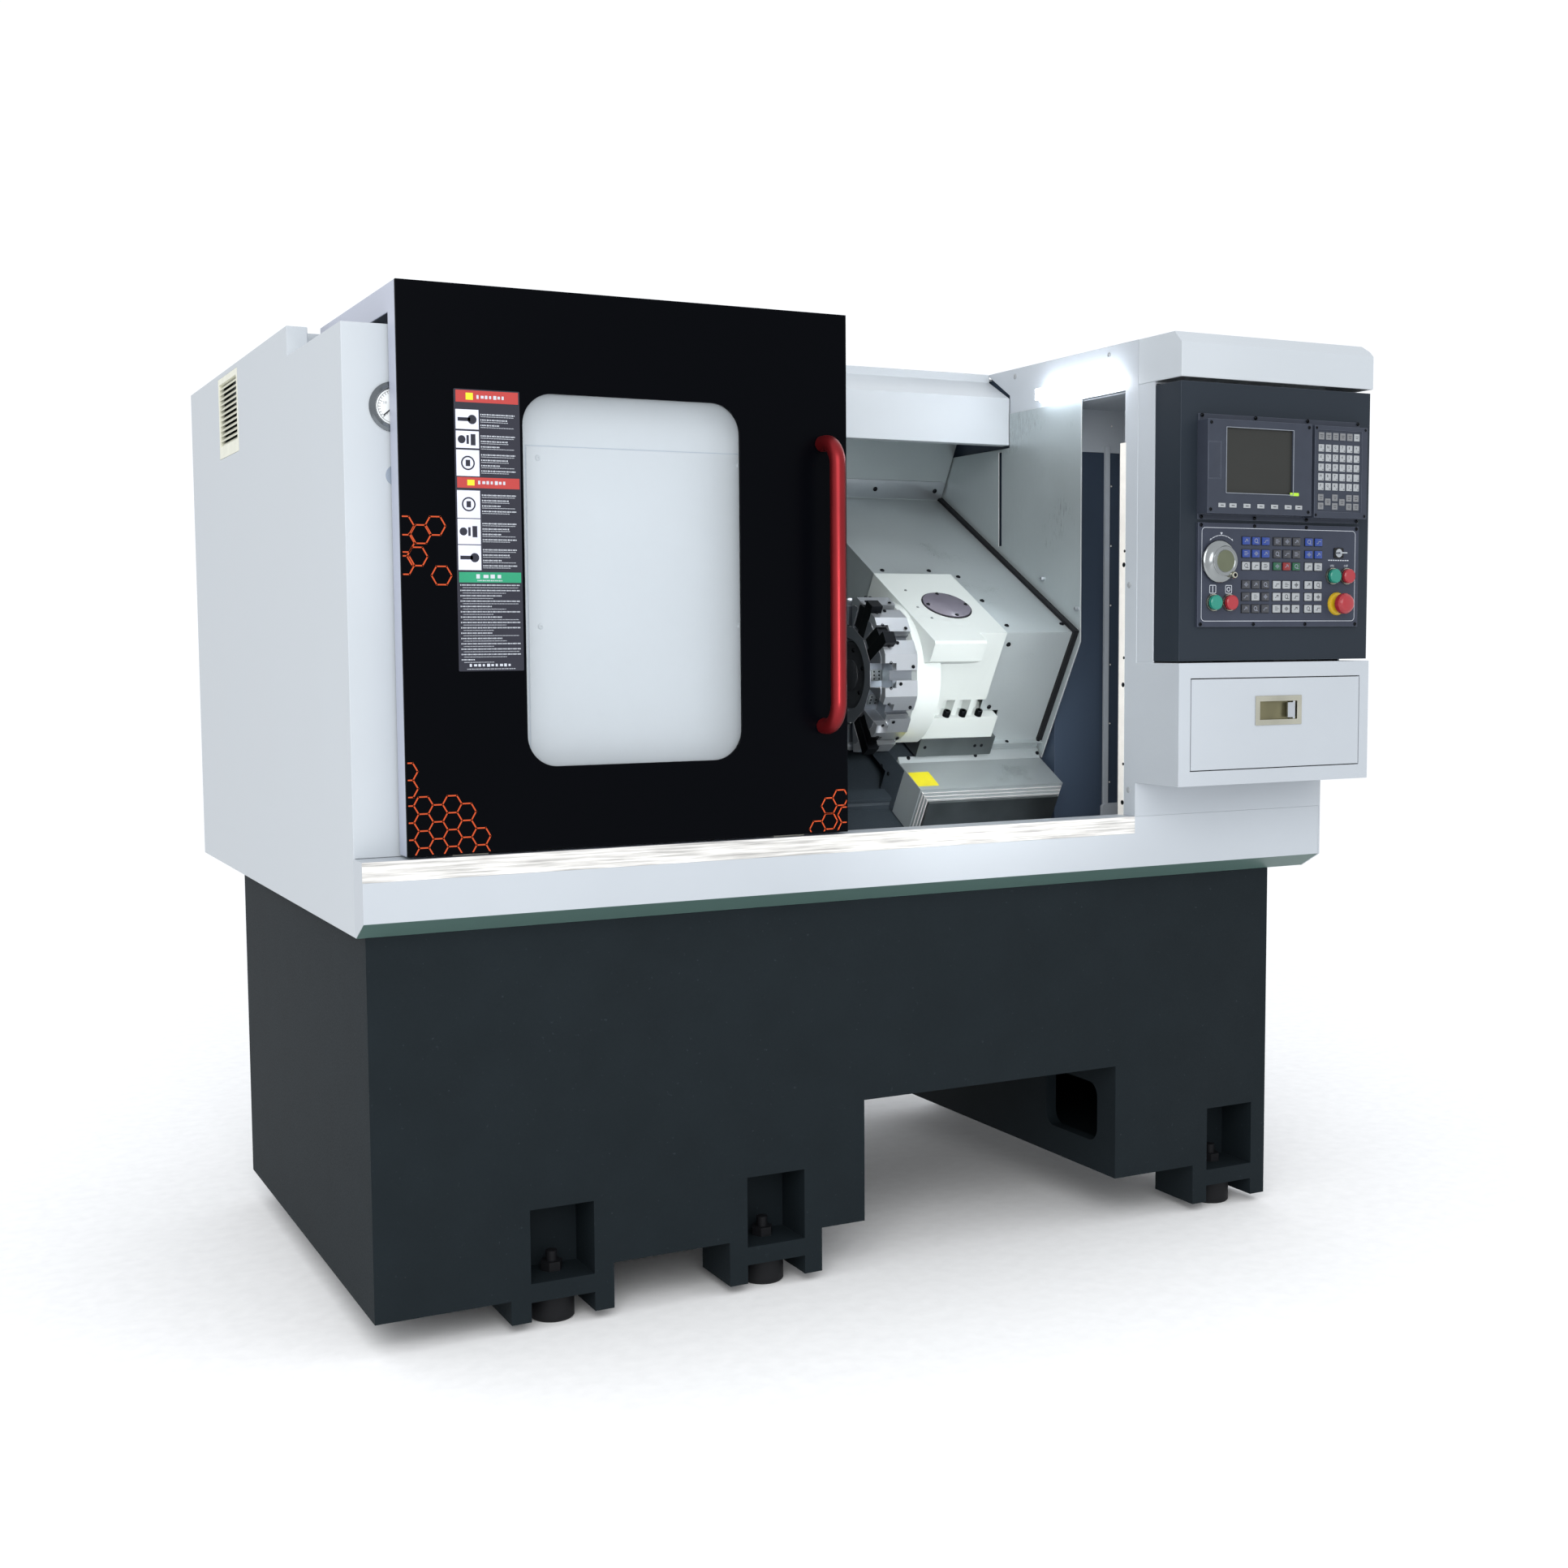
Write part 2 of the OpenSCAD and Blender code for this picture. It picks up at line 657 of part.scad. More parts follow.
module push_button(p, tint) {
    color(tint) at_panel(p) {
        translate([0, 0, -12]) cylinder(h = 13, r = button_hole - run_gap);
        translate([0, 0, 5]) rotate_extrude()
            polygon([[0, -5], [button_hole - run_gap, -5], [button_hole - run_gap, 0], [13, 0], [14, 1], [14, 7],
                [12, 9], [0, 9]]);
    }
}

module start_button() { push_button(start_at, "#0f8a68"); }
module hold_button() { push_button(hold_at, "#c0242c"); }
module power_on_button() { push_button(power_on_at, "#0f8a68"); }
module power_off_button() { push_button(power_off_at, "#c0242c"); }

module emergency_stop() {
    color("#d01f26") at_panel(stop_at) {
        translate([0, 0, -16]) cylinder(h = 17, r = button_hole - run_gap);
        rotate_extrude() polygon([[0, 0], [button_hole - run_gap, 0], [button_hole - run_gap, 12], [stop_d / 2 - 3, 13],
            [stop_d / 2, 17], [stop_d / 2, 26], [stop_d / 2 - 4, knob_reach - 2], [stop_d / 2 - 8, knob_reach],
            [0, knob_reach]]);
    }
}

module key_switch() {
    color("#b9bdc0") at_panel(key_at) {
        translate([0, 0, -12]) cylinder(h = 15, r = button_hole - run_gap);
        translate([-9, -1.2, 2]) cube([18, 2.4, 14]);
    }
}

// ---------------------------------------------------------------- drawer
module drawer() {
    gap = 2;
    x0 = drawer_x0 + gap;
    x1 = drawer_x0 + drawer_w - gap;
    z0 = drawer_z0 + gap;
    z1 = drawer_z0 + drawer_h - gap;
    box_z0 = drawer_z0 + run_gap;
    px = drawer_x0 + 157;
    pz = drawer_z0 + 84;
    color(white) difference() {
        union() {
            block(x0, x1, y_front, y_front + 16, z0, z1);
            block(x0 + 8, x1 - 8, y_front + 15, y_front + drawer_d, box_z0, z1 - 30);
        }
        block(x0 + 10, x1 - 10, y_front + 18, y_front + drawer_d - 2, box_z0 + 2, z1);
        block(px + 9, px + 106, y_front - 1, y_front + 13, pz + 9, pz + 48);
    }
}

module pull_plate() {
    px = drawer_x0 + 157;
    pz = drawer_z0 + 84;
    color("#d8dadc") difference() {
        union() {
            block(px, px + 115, y_front - 2, y_front, pz, pz + 57);
            block(px + 9, px + 106, y_front - 1, y_front + 13, pz + 9, pz + 48);
        }
        block(px + 11, px + 104, y_front - 3, y_front + 11, pz + 11, pz + 46);
    }
}

module pull_paddle() {
    px = drawer_x0 + 157;
    pz = drawer_z0 + 84;
    color("#c0c4c8") {
        translate([px + 99, y_front + 3, pz + 11 + run_gap]) cylinder(h = 35 - 2 * run_gap, r = 3);
        block(px + 82, px + 99, y_front, y_front + 3, pz + 14, pz + 43);
    }
}

// ---------------------------------------------------------------- sliding door
window_x0 = door_x0 + 206;
window_z0 = door_z0 + 138;
panel_thick = 6;
roof_y = fy(645.5);
handle_x = door_x1 - 50;
handle_z = door_z0 + 440;
handle_off = 60;
bend_r = 44;

module window_outline(grow) {
    round_rect(window_x0 - grow, window_x0 + window_w + grow, window_z0 - grow, window_z0 + window_h + grow,
               window_r + grow);
}

module door_panel() {
    color(black) along_y(y_apron, y_apron + panel_thick) difference() {
        translate([door_x0, door_z0]) square([door_w, case_h - door_z0]);
        window_outline(0);
    }
}

module door_window() {
    color("#dfe8ee", 0.4) along_y(y_apron + panel_thick, y_apron + panel_thick + 4) window_outline(10);
}

module door_shell() {
    t = 3;
    y0 = y_apron + panel_thick;
    y1 = y_apron + door_d;
    color("#cfd3dc") {
        block(door_x0, door_x0 + t, y0, y1, door_z0, case_h);
        block(door_x1 - t, door_x1, y0, y1, door_z0, case_h);
        block(door_x0, door_x1, y0, y1, door_z0, door_z0 + t);
        block(door_x0, door_x1, y0, roof_y, case_h - t, case_h);
        block(door_x0, door_x0 + t, y0, roof_y, case_h - 45, case_h);
        block(door_x1 - t, door_x1, y0, roof_y, case_h - 12, case_h);
        block(door_x0, door_x0 + 30, y1 - t, y1, door_z0, case_h - 45);
        block(door_x1 - 30, door_x1, y1 - t, y1, door_z0, case_h - 45);
        block(door_x0, door_x1, roof_y - t, roof_y, case_h - 12, case_h);
    }
}

module door_pads() {
    color("#e8e4d8") {
        for (x = [door_x0 + 80, door_x1 - 140])
            block(x, x + 60, y_apron + 18, y_apron + 40, sill_z + run_gap, door_z0);
        for (x = [door_x0 + 80, door_x1 - 140])
            block(x, x + 60, roof_y, y_lip - run_gap, case_h - 14, case_h - 2);
    }
}

module door_handle() {
    z0 = handle_z - handle_l / 2;
    z1 = handle_z + handle_l / 2;
    r = handle_t / 2;
    color("#a3262a") translate([handle_x, y_apron, 0]) {
        translate([0, -handle_off, z0 + bend_r]) cylinder(h = z1 - z0 - 2 * bend_r, r = r);
        for (end = [[z0, 1], [z1, -1]])
            translate([0, 0, end[0]]) {
                translate([0, -handle_off + bend_r, 0]) rod_y(0, handle_off - bend_r, r);
                scale([1, 1, end[1]]) translate([0, -handle_off + bend_r, bend_r]) rotate([0, -90, 0])
                    rotate([0, 0, 180]) rotate_extrude(angle = 90) translate([bend_r, 0]) circle(r, $fn = 32);
            }
    }
}

// ---------------------------------------------------------------- inside the work area
module inner_lining() {
    t = steel_t;
    nose = 75;
    color(steel) {
        difference() {
            along_x(lining_x, lining_x + t)
                polygon([[y_cover + sheet_t, skirt_z], [pan_back_y, skirt_z], sl(bed_v0 - 6, bed_w + 3),
                    sl(bed_v1 + 10, bed_w + 3), [lining_y, sl(bed_v1 + 10, bed_w + 3)[1]],
                    [lining_y, rear_top - sheet_t], [y_rear + sheet_t, rear_top - sheet_t],
                    [y_rear + sheet_t, shoulder_z - sheet_t], [y_cover + sheet_t, shoulder_z - sheet_t]]);
            translate([0, y_sp, z_sp]) rod_x(lining_x - 1, lining_x + t + 1, nose);
        }
        block(lining_x, column_x + 7, lining_y, lining_y + t, sl(bed_v1, bed_w)[1] + 4, rear_top - sheet_t);
    }
}

module jamb_panel() {
    t = sheet_t;
    x0 = column_x + 7.5;
    color("#3a4657") difference() {
        union() {
            along_x(x0, x0 + t)
                polygon([[jamb_y, skirt_z + 8], [lining_y, skirt_z + 8], [lining_y, rear_top - t],
                    [y_rear - 0.5, rear_top - t], [y_rear - 0.5, case_h - t], [jamb_y, case_h - t]]);
            block(x0, jamb_x1, jamb_y, jamb_y + t - 0.5, skirt_z + 8, recess_z1);
        }
        on_slant() block(x0 - 1, x0 + t + 1, screw_v - 46, screw_v + 46, screw_w - 46, screw_w + 46);
    }
}

module work_lamp() {
    color("#f4f7fa") {
        block(column_x - 26, column_x, fy(189), fy(440), case_h - 80, case_h - 58);
        translate([column_x - 14, 0, case_h - 80]) rod_y(fy(195), fy(434), 6);
    }
}

// ---------------------------------------------------------------- bed and drives
rail_w = 34;
rail_h = 26;
rail_v = [110, 505];
rail_waist = 4;
screw_v = 330;
screw_w = bed_w + 55;
screw_r = 16;

module rail_outline(v) {
    polygon([[v, bed_w], [v, bed_w + 9], [v + rail_waist, bed_w + 13], [v + rail_waist, bed_w + 17],
        [v, bed_w + 20], [v, bed_w + rail_h], [v + rail_w, bed_w + rail_h], [v + rail_w, bed_w + 20],
        [v + rail_w - rail_waist, bed_w + 17], [v + rail_w - rail_waist, bed_w + 13], [v + rail_w, bed_w + 9],
        [v + rail_w, bed_w]]);
}

module bed_casting() {
    wall = 42;
    front = sl(bed_v0, bed_w);
    top = sl(bed_v1, bed_w);
    color("#3c444b") {
        difference() {
            along_x(bed_x0, bed_x1)
                polygon([[front[0], skirt_z], front, top, [top[0] + 70, top[1]], [top[0] + 70, skirt_z]]);
            along_x(bed_x0 - 1, bed_x1 + 1)
                polygon([[front[0] + 190, skirt_z + wall], [top[0] + 70 - wall, skirt_z + wall],
                    [top[0] + 70 - wall, top[1] - 2 * wall], [top[0] - 40, top[1] - 2.4 * wall],
                    [front[0] + 190, front[1] + 30]]);
        }
        on_slant() for (v = rail_v)
            along_x(lining_x + 30, bed_x1 - 4) rail_outline(v);
    }
}

module headstock() {
    x1 = lining_x - 2;
    x0 = x1 - 330;
    foot_l = 20;
    color("#3c444b") difference() {
        union() {
            on_slant() {
                rod_x(x0, x1, spindle_r + 24);
                block(x0, x1, foot_l + 10, 470, bed_w, -40);
                along_x(x0, x1) polygon([[-40, -60], [foot_l + 20, bed_w + 40], [120, bed_w + 60], [120, 60], [0, 74]]);
            }
        }
        translate([0, y_sp, z_sp]) rod_x(x0 - 1, x1 + 1, spindle_r + run_gap);
    }
}

module spindle_motor() {
    x1 = belt_x + belt_w + 280;
    color("#23282d") {
        translate([0, motor_at[0], motor_at[1]]) {
            block(belt_x + belt_w + 20, x1, -92, 92, -92, 92);
            rod_x(x1, x1 + 60, 80);
        }
        on_slant() block(belt_x + belt_w + 40, x1 - 20, 480, 590, bed_w, -58);
    }
}

module pulley(x, bore) {
    difference() {
        rod_x(x, x + belt_w, pulley_r);
        rod_x(x - 1, x + belt_w + 1, bore);
    }
    for (edge = [x - 4, x + belt_w])
        difference() {
            rod_x(edge, edge + 4, pulley_r + 8);
            rod_x(edge - 1, edge + 5, bore);
        }
}

module motor_pulley() {
    color("#5b6167") translate([0, motor_at[0], motor_at[1]]) {
        pulley(belt_x, 18);
        rod_x(belt_x - 4, belt_x + belt_w + 20 - run_gap, 18);
    }
}

module half_ring(r0, r1, w) {
    rotate([0, 90, 0]) rotate_extrude(angle = 180) translate([r0, 0]) square([r1 - r0, w]);
}

module drive_belt() {
    dy = motor_at[0] - y_sp;
    dz = motor_at[1] - z_sp;
    run = sqrt(dy * dy + dz * dz);
    r0 = pulley_r + run_gap;
    r1 = r0 + 6;
    w = belt_w - 2;
    color("#15181b") translate([belt_x + 1, y_sp, z_sp]) rotate([atan2(dz, dy), 0, 0]) {
        mirror([0, 1, 0]) half_ring(r0, r1, w);
        translate([0, run, 0]) half_ring(r0, r1, w);
        block(0, w, 0, run, r0, r1);
        block(0, w, 0, run, -r1, -r0);
    }
}

module z_drive() {
    x1 = column_x + 14;
    color("#2b3036") on_slant() {
        translate([0, screw_v, screw_w]) {
            difference() {
                block(bed_x1, x1 + 30, -44, 44, -44, 44);
                rod_x(bed_x1 - 1, x1 + 31, screw_r + run_gap);
            }
            block(x1 + 30, x1 + 190, -55, 55, -55, 55);
            difference() {
                block(lining_x + 32, lining_x + 62, -30, 30, -55, 30);
                rod_x(lining_x + 31, lining_x + 63, screw_r + run_gap);
            }
        }
    }
}

module z_screw() {
    color("#b5b9bc") on_slant() translate([0, screw_v, screw_w]) rod_x(lining_x + 20, column_x + 44 - run_gap, screw_r);
}

// ---------------------------------------------------------------- spindle and chuck
module spindle() {
    color("#a9adb0") translate([0, y_sp, z_sp]) {
        difference() {
            union() {
                rod_x(belt_x - 60, lining_x + 4, spindle_r - 14);
                rod_x(lining_x - 332, lining_x + 4, spindle_r);
                rod_x(lining_x + 4, chuck_x0, 62);
                rod_x(belt_x - 150, belt_x - 60, 70);
            }
            rod_x(belt_x - 151, chuck_x0 + 1, 21);
        }
        pulley(belt_x, spindle_r - 14.2);
    }
}

jaw_w = 26;
jaw_in = 26;
jaw_rest = 2;

module jaw_slot(gap) {
    h = jaw_w / 2 + gap;
    translate([chuck_x1 - 22 - gap, -h, jaw_in - 6]) cube([30, 2 * h, chuck_r]);
    translate([chuck_x1 - 14 - gap, -h - 4, jaw_in - 6]) cube([8 + 2 * gap, 2 * h + 8, chuck_r]);
}

module chuck_body() {
    color("#8d9296") translate([0, y_sp, z_sp]) difference() {
        rotate([0, 90, 0]) rotate_extrude()
            polygon([[24, chuck_x0], [chuck_r - 4, chuck_x0], [chuck_r, chuck_x0 + 4], [chuck_r, chuck_x1 - 4],
                [chuck_r - 4, chuck_x1], [24, chuck_x1]]);
        for (i = [0:jaw_n - 1])
            rotate([i * 360 / jaw_n, 0, 0]) jaw_slot(run_gap);
    }
}

module chuck_jaw(i) {
    h = jaw_w / 2;
    color("#6d7276") translate([0, y_sp, z_sp]) rotate([i * 360 / jaw_n, 0, 0]) {
        translate([chuck_x1 - 22, -h, jaw_in]) cube([23, jaw_w, 44]);
        translate([chuck_x1 - 14, -h - 4, jaw_in]) cube([8, jaw_w + 8, 44]);
        translate([chuck_x1 + 0.5, -h, jaw_in - 8]) cube([16, jaw_w, 48]);
        translate([chuck_x1 + 16, -h, jaw_in - 8]) cube([14, jaw_w, 26]);
    }
}

module chuck_jaw_1() { chuck_jaw(0); }
module chuck_jaw_2() { chuck_jaw(1); }
module chuck_jaw_3() { chuck_jaw(2); }

// ---------------------------------------------------------------- saddle
saddle_v0 = 96;
saddle_v1 = 570;
cross_rail_x = [guard_x0 + 58, guard_x0 + 196];
cross_rail_w = 24;
cross_rail_top = -134;

module saddle() {
    x0 = guard_x0 + 8;
    x1 = guard_x1 - 4;
    color("#434b52") on_slant() {
        difference() {
            union() {
                block(x0, x1, saddle_v0, saddle_v1, saddle_low, saddle_top);
                for (v = rail_v)
                    for (x = [x0, x1 - 90])
                        block(x, x + 90, v - 14, v + rail_w + 14, bed_w + 4, saddle_low + 1);
                block(x0 + 100, x1 - 100, screw_v - 30, screw_v + 30, screw_w - 30, saddle_low + 1);
            }
            for (v = rail_v)
                along_x(x0 - 1, x1 + 1) polygon([[v - run_gap, bed_w], [v - run_gap, bed_w + rail_h + run_gap],
                    [v + rail_w + run_gap, bed_w + rail_h + run_gap], [v + rail_w + run_gap, bed_w]]);
            translate([0, screw_v, screw_w]) rod_x(x0 - 1, x1 + 1, screw_r + run_gap);
        }
        for (x = cross_rail_x)
            block(x, x + cross_rail_w, 190, saddle_v1 - 6, saddle_top, cross_rail_top);
    }
    color("#23282d") on_slant()
        block(guard_x0 + 120, guard_x0 + 160, saddle_v1 - 40, 700, saddle_top, cross_rail_top + 40);
}

// one box of the telescopic cover, open behind and below; the last one is closed in front
module sheet_run(k) {
    v = sheet_v - (k - 1) * sheet_step;
    w = saddle_top + 3 - (k - 1) * sheet_step;
    v_back = saddle_v0 - 2;
    x0 = guard_x0 + 8 + (k - 1) * sheet_inset;
    x1 = guard_x1 - 1 - (k - 1) * sheet_inset;
    low = k == sheet_n ? w - bed_w - 4 : sheet_step - run_gap;
    on_slant() {
        along_x(x0, x1)
            polygon([[v, w], [v_back + (k == 1 ? 36 : 0), w], [v_back + (k == 1 ? 36 : 0), w - steel_t],
                [v + steel_t, w - steel_t], [v + steel_t, w - low], [v, w - low]]);
        for (x = [x0, x1 - steel_t])
            block(x, x + steel_t, v, v_back, bed_w + 4, w - steel_t / 2);
    }
}

module saddle_guard() {
    t = steel_t;
    color(steel) {
        on_slant() difference() {
            along_x(guard_x0, guard_x1)
                polygon([[guard_v, guard_low], [guard_v, guard_top], [guard_back_v, guard_top],
                    [guard_back_v, guard_rise], [guard_back_v + t, guard_rise], [guard_back_v + t, guard_top - t],
                    [guard_v + t, guard_top - t], [guard_v + t, guard_low]]);
            block(guard_x0 - 1, house_x1 + 2, guard_v - 1, house_v1 + 2, guard_low - 1, guard_top + 1);
            block(guard_x0 - 1, notch_x, guard_v - 1, guard_v + 10, guard_low - 1, house_low + 9);
        }
        on_slant() along_x(guard_x0, guard_x0 + t)
            polygon([[house_v1 + 4, saddle_top + 1], [house_v1 + 4, guard_top - t], [guard_back_v, guard_top - t],
                [guard_back_v, saddle_top + 60], [saddle_v1, saddle_top + 1]]);
        sheet_run(1);
        on_slant() {
            block(notch_x, guard_x1, guard_v - 14, guard_v + t, guard_low - t, guard_low);
            block(notch_x, guard_x1, guard_v, guard_v + t, slide_low - 4, guard_low);
            along_x(guard_x0 + 8, guard_x1 - 1)
                polygon([[guard_v - 23, saddle_top + 3], [guard_v - 12, slide_low - 5],
                    [guard_v - 12, saddle_top + 3]]);
            along_x(notch_x, guard_x1 - 1)
                polygon([[guard_v - 23, saddle_top + 3], [guard_v - 6, slide_low - 0.5], [guard_v + t, slide_low - 0.5],
                    [guard_v + t, saddle_top + 1], [guard_v - 13, saddle_top + 1], [guard_v - 13, saddle_top + 3]]);
        }
    }
}

module bulkhead() {
    y_edge = fy(310.5);
    y_beam = fy(569);
    z_beam = case_h - 165;
    v1 = guard_back_v + steel_t + 0.5;
    color(steel) difference() {
        along_x(column_x - 3, column_x - 3 + steel_t)
            polygon([[y_edge, band_z], [y_edge, z_sp + 176], sl(118, saddle_top + 3), sl(saddle_v1, saddle_top + 3),
                sl(v1, guard_top), [sl(v1, guard_top)[0] - (z_beam - sl(v1, guard_top)[1]) * tan(slant), z_beam],
                [y_beam, z_beam], [y_beam, band_z]]);
        block(column_x - 10, column_x + 5, fy(599), fy(611), sl(guard_back_v - 230, guard_top)[1], z_beam - 6);
        block(column_x - 10, column_x + 5, y_rear - run_gap, y_back, shoulder_z - sheet_t - run_gap, case_h);
    }
}

module bulkhead_seal() {
    out = 7;
    low = run_gap;
    color("#1c2024") on_slant() along_x(guard_x1 - 9, column_x - 3)
        polygon([[guard_v - low, guard_low], [guard_v - out, guard_low], [guard_v - out, guard_top + out],
            [guard_back_v - low, guard_top + out], [guard_back_v - low, guard_top + low],
            [guard_v - low, guard_top + low]]);
}

module telescopic_sheet_2() { color(steel) sheet_run(2); }
module telescopic_sheet_3() { color(steel) sheet_run(3); }
module telescopic_sheet_4() { color(steel) sheet_run(4); }

// ---------------------------------------------------------------- cross slide and turret
module cross_slide() {
    x0 = guard_x0 + 43;
    x1 = guard_x0 + 221;
    color("#8f9496") {
        on_slant() difference() {
            block(x0, x1, 120, 520, cross_rail_top - 8, slide_top);
            block(x0 - 1, x1 + 1, 119, 200, cross_rail_top - 9, slide_low);
            for (x = cross_rail_x)
                block(x - run_gap, x + cross_rail_w + run_gap, 119, 521, saddle_top, cross_rail_top + run_gap);
            block(guard_x0 + 112, guard_x0 + 168, 430, 521, saddle_top, slide_top + 1);
        }
        sheet_run(sheet_n);
    }
}

pocket_x = [house_x0 + 84, house_x0 + 122, house_x0 + 160];

module turret_housing() {
    foot_x1 = house_x1 + 34;
    color("#e3e8e4") on_slant() difference() {
        union() {
            block(house_x0, house_x1, house_v0, house_v1, slide_top, house_top);
            block(house_x0, foot_x1, 120, house_v1, slide_top, house_low + 7);
            translate([0, turret_v, 0]) rod_x(ring_x0, ring_x0 + ring_l, ring_r);
            along_x(house_x0, house_x1 - 66) polygon([[95, 106], [95, house_top - 4], [99, house_top],
                [house_v0 + 5, house_top], [house_v0 + 5, 80], [house_v0, 80]]);
            block(guard_x0 + 6, house_x1 - 4, house_v1 - 1, house_v1 + 80, guard_top - 9, guard_top - 6);
        }
        for (x = pocket_x)
            block(x, x + 27, house_v0 - 20, house_v0 + 26, house_low + 7, house_low + 42);
        block(ring_x0 - 1, ring_x0 + ring_l + 1, 60, 400, -ring_r - 1, slide_top);
    }
}

// the disc is a drum with a V-shaped land and a clamping block between each two stations
notch_l = 26;
notch_r = 95;
block_h = 16;
pitch = 360 / stations;

module turret_disc() {
    drum_r = disc_r - block_h;
    color("#b9bec2") on_slant() translate([0, turret_v, 0]) {
        difference() {
            rotate([0, 90, 0]) rotate([0, 0, pitch / 2])
                translate([0, 0, disc_x0]) cylinder(h = disc_l, r = drum_r / cos(pitch / 2), $fn = stations);
            for (i = [0:stations - 1])
                rotate([i * pitch, 0, 0]) {
                    block(disc_x0 - 1, disc_x0 + disc_l + 1, -slot_w / 2, slot_w / 2, drum_r - 10, disc_r + 20);
                    block(disc_x0 - 1, disc_x0 + notch_l, -notch_w / 2, notch_w / 2, notch_r, disc_r + 20);
                }
            rod_x(disc_x0 - 1, disc_x0 + 13, 73);
        }
        rod_x(disc_x0 + 9, disc_x0 + 14, 68.5);
        rod_x(disc_x0 + disc_l - 1, ring_x0 - run_gap, 90);
    }
}

// a corner of a clamping block beside a station's cut, on the flat at a distance from the disc's axis
function block_corner(side, cut_w, apothem) =
    let (s = apothem * tan(pitch / 2) - cut_w / 2 - 0.5)
    [side * s * cos(pitch / 2), apothem / cos(pitch / 2) - s * sin(pitch / 2)];

module tool_block(x0, x1, cut_w) {
    foot = disc_r - block_h + run_gap;
    along_x(x0, x1)
        polygon([[0, disc_r / cos(pitch / 2)], block_corner(1, cut_w, disc_r), block_corner(1, cut_w, foot),
            [0, foot / cos(pitch / 2)], block_corner(-1, cut_w, foot), block_corner(-1, cut_w, disc_r)]);
}

module tool_blocks() {
    color("#cfd3d6") on_slant() translate([0, turret_v, 0])
        for (i = [0:stations - 1])
            rotate([i * pitch + pitch / 2, 0, 0]) {
                tool_block(disc_x0 + notch_l, disc_x0 + disc_l - 2, slot_w);
                tool_block(disc_x0 + 1, disc_x0 + notch_l + 1, notch_w);
            }
}

// square tool shanks in their pockets, each held by a wedge beside it
module tool_holders() {
    size = 25;
    reach = 168;
    side = notch_w / 2 - run_gap;
    color("#1b1e21") on_slant() translate([0, turret_v, 0])
        for (i = [0, 1, 4, 7, 9])
            rotate([i * pitch, 0, 0]) {
                block(disc_x0, disc_x0 + size, -side, size - side, notch_r + run_gap, reach);
                along_x(disc_x0 + 2, disc_x0 + notch_l - run_gap)
                    polygon([[size - side + run_gap, notch_r + 4], [side, notch_r + 4], [side, disc_r - 6],
                        [size - side + run_gap, disc_r - 3]]);
            }
}

base_casting();
levelling_pads();
chip_pan();
apron_panel();
sill_strip();
left_cover();
left_vent();
gauge_case();
gauge_needle();
rear_casing();
header_beam();
column_shell();
column_hood();
control_box();
control_unit();
lcd_screen();
operator_panel();
key_caps();
inner_lining();
jamb_panel();
work_lamp();
bed_casting();
headstock();
spindle_motor();
motor_pulley();
drive_belt();
z_drive();
z_screw();
door_panel();
door_shell();
door_window();
door_handle();
door_pads();
spindle();
chuck_body();
chuck_jaw_1();
chuck_jaw_2();
chuck_jaw_3();
saddle();
saddle_guard();
bulkhead();
bulkhead_seal();
telescopic_sheet_2();
telescopic_sheet_3();
telescopic_sheet_4();
cross_slide();
turret_housing();
turret_disc();
tool_blocks();
tool_holders();
handwheel();
start_button();
hold_button();
power_on_button();
power_off_button();
emergency_stop();
key_switch();
drawer();
pull_plate();
pull_paddle();
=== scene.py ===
"""Looks of a slant-bed turning lathe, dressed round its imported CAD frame.

Lengths are in metres. X runs along the spindle, Y towards the back, Z up.
"""

import json
import logging
import math
from dataclasses import dataclass, field
from enum import Enum
from typing import Iterable, Sequence

import bmesh
import bpy
from mathutils import Matrix, Vector


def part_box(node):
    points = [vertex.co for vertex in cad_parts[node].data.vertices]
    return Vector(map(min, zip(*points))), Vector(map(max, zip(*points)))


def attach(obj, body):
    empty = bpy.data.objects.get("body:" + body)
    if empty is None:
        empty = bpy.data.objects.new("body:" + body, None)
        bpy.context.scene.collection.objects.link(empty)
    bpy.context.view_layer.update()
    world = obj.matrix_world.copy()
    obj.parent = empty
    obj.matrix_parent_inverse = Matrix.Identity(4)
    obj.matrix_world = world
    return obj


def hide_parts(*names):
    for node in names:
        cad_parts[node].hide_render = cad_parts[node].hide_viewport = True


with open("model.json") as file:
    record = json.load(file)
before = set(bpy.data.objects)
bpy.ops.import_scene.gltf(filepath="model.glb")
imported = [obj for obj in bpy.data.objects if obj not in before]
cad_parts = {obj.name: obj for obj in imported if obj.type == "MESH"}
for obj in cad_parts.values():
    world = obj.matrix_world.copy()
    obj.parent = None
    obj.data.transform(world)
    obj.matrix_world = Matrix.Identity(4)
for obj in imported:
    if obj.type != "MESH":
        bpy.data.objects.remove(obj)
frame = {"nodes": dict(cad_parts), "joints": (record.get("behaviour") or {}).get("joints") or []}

LOG = logging.getLogger("lathe")
MM = 0.001
SMOOTH_BELOW = math.radians(35.0)
EDGE_ABOVE = math.radians(32.0)
FLAT_WITHIN = math.radians(0.5)
WELD, FINE_WELD = 1e-5, 1e-6
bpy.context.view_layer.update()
Colour = tuple[float, float, float, float]
Point = tuple[float, float]
Tree = bpy.types.NodeTree
Socket = bpy.types.NodeSocket


class Body(str, Enum):
    """The rigid bodies that new pieces ride on."""

    MACHINE = "machine"
    DOOR = "door"
    SADDLE = "saddle"
    CROSS_SLIDE = "cross_slide"
    TURRET = "turret"
    HANDWHEEL = "handwheel"
    STOP = "emergency_stop"
    DRAWER = "drawer"
    PADDLE = "pull_paddle"
    SHEET_2 = "sheet_2"
    SHEET_3 = "sheet_3"
    SHEET_4 = "sheet_4"


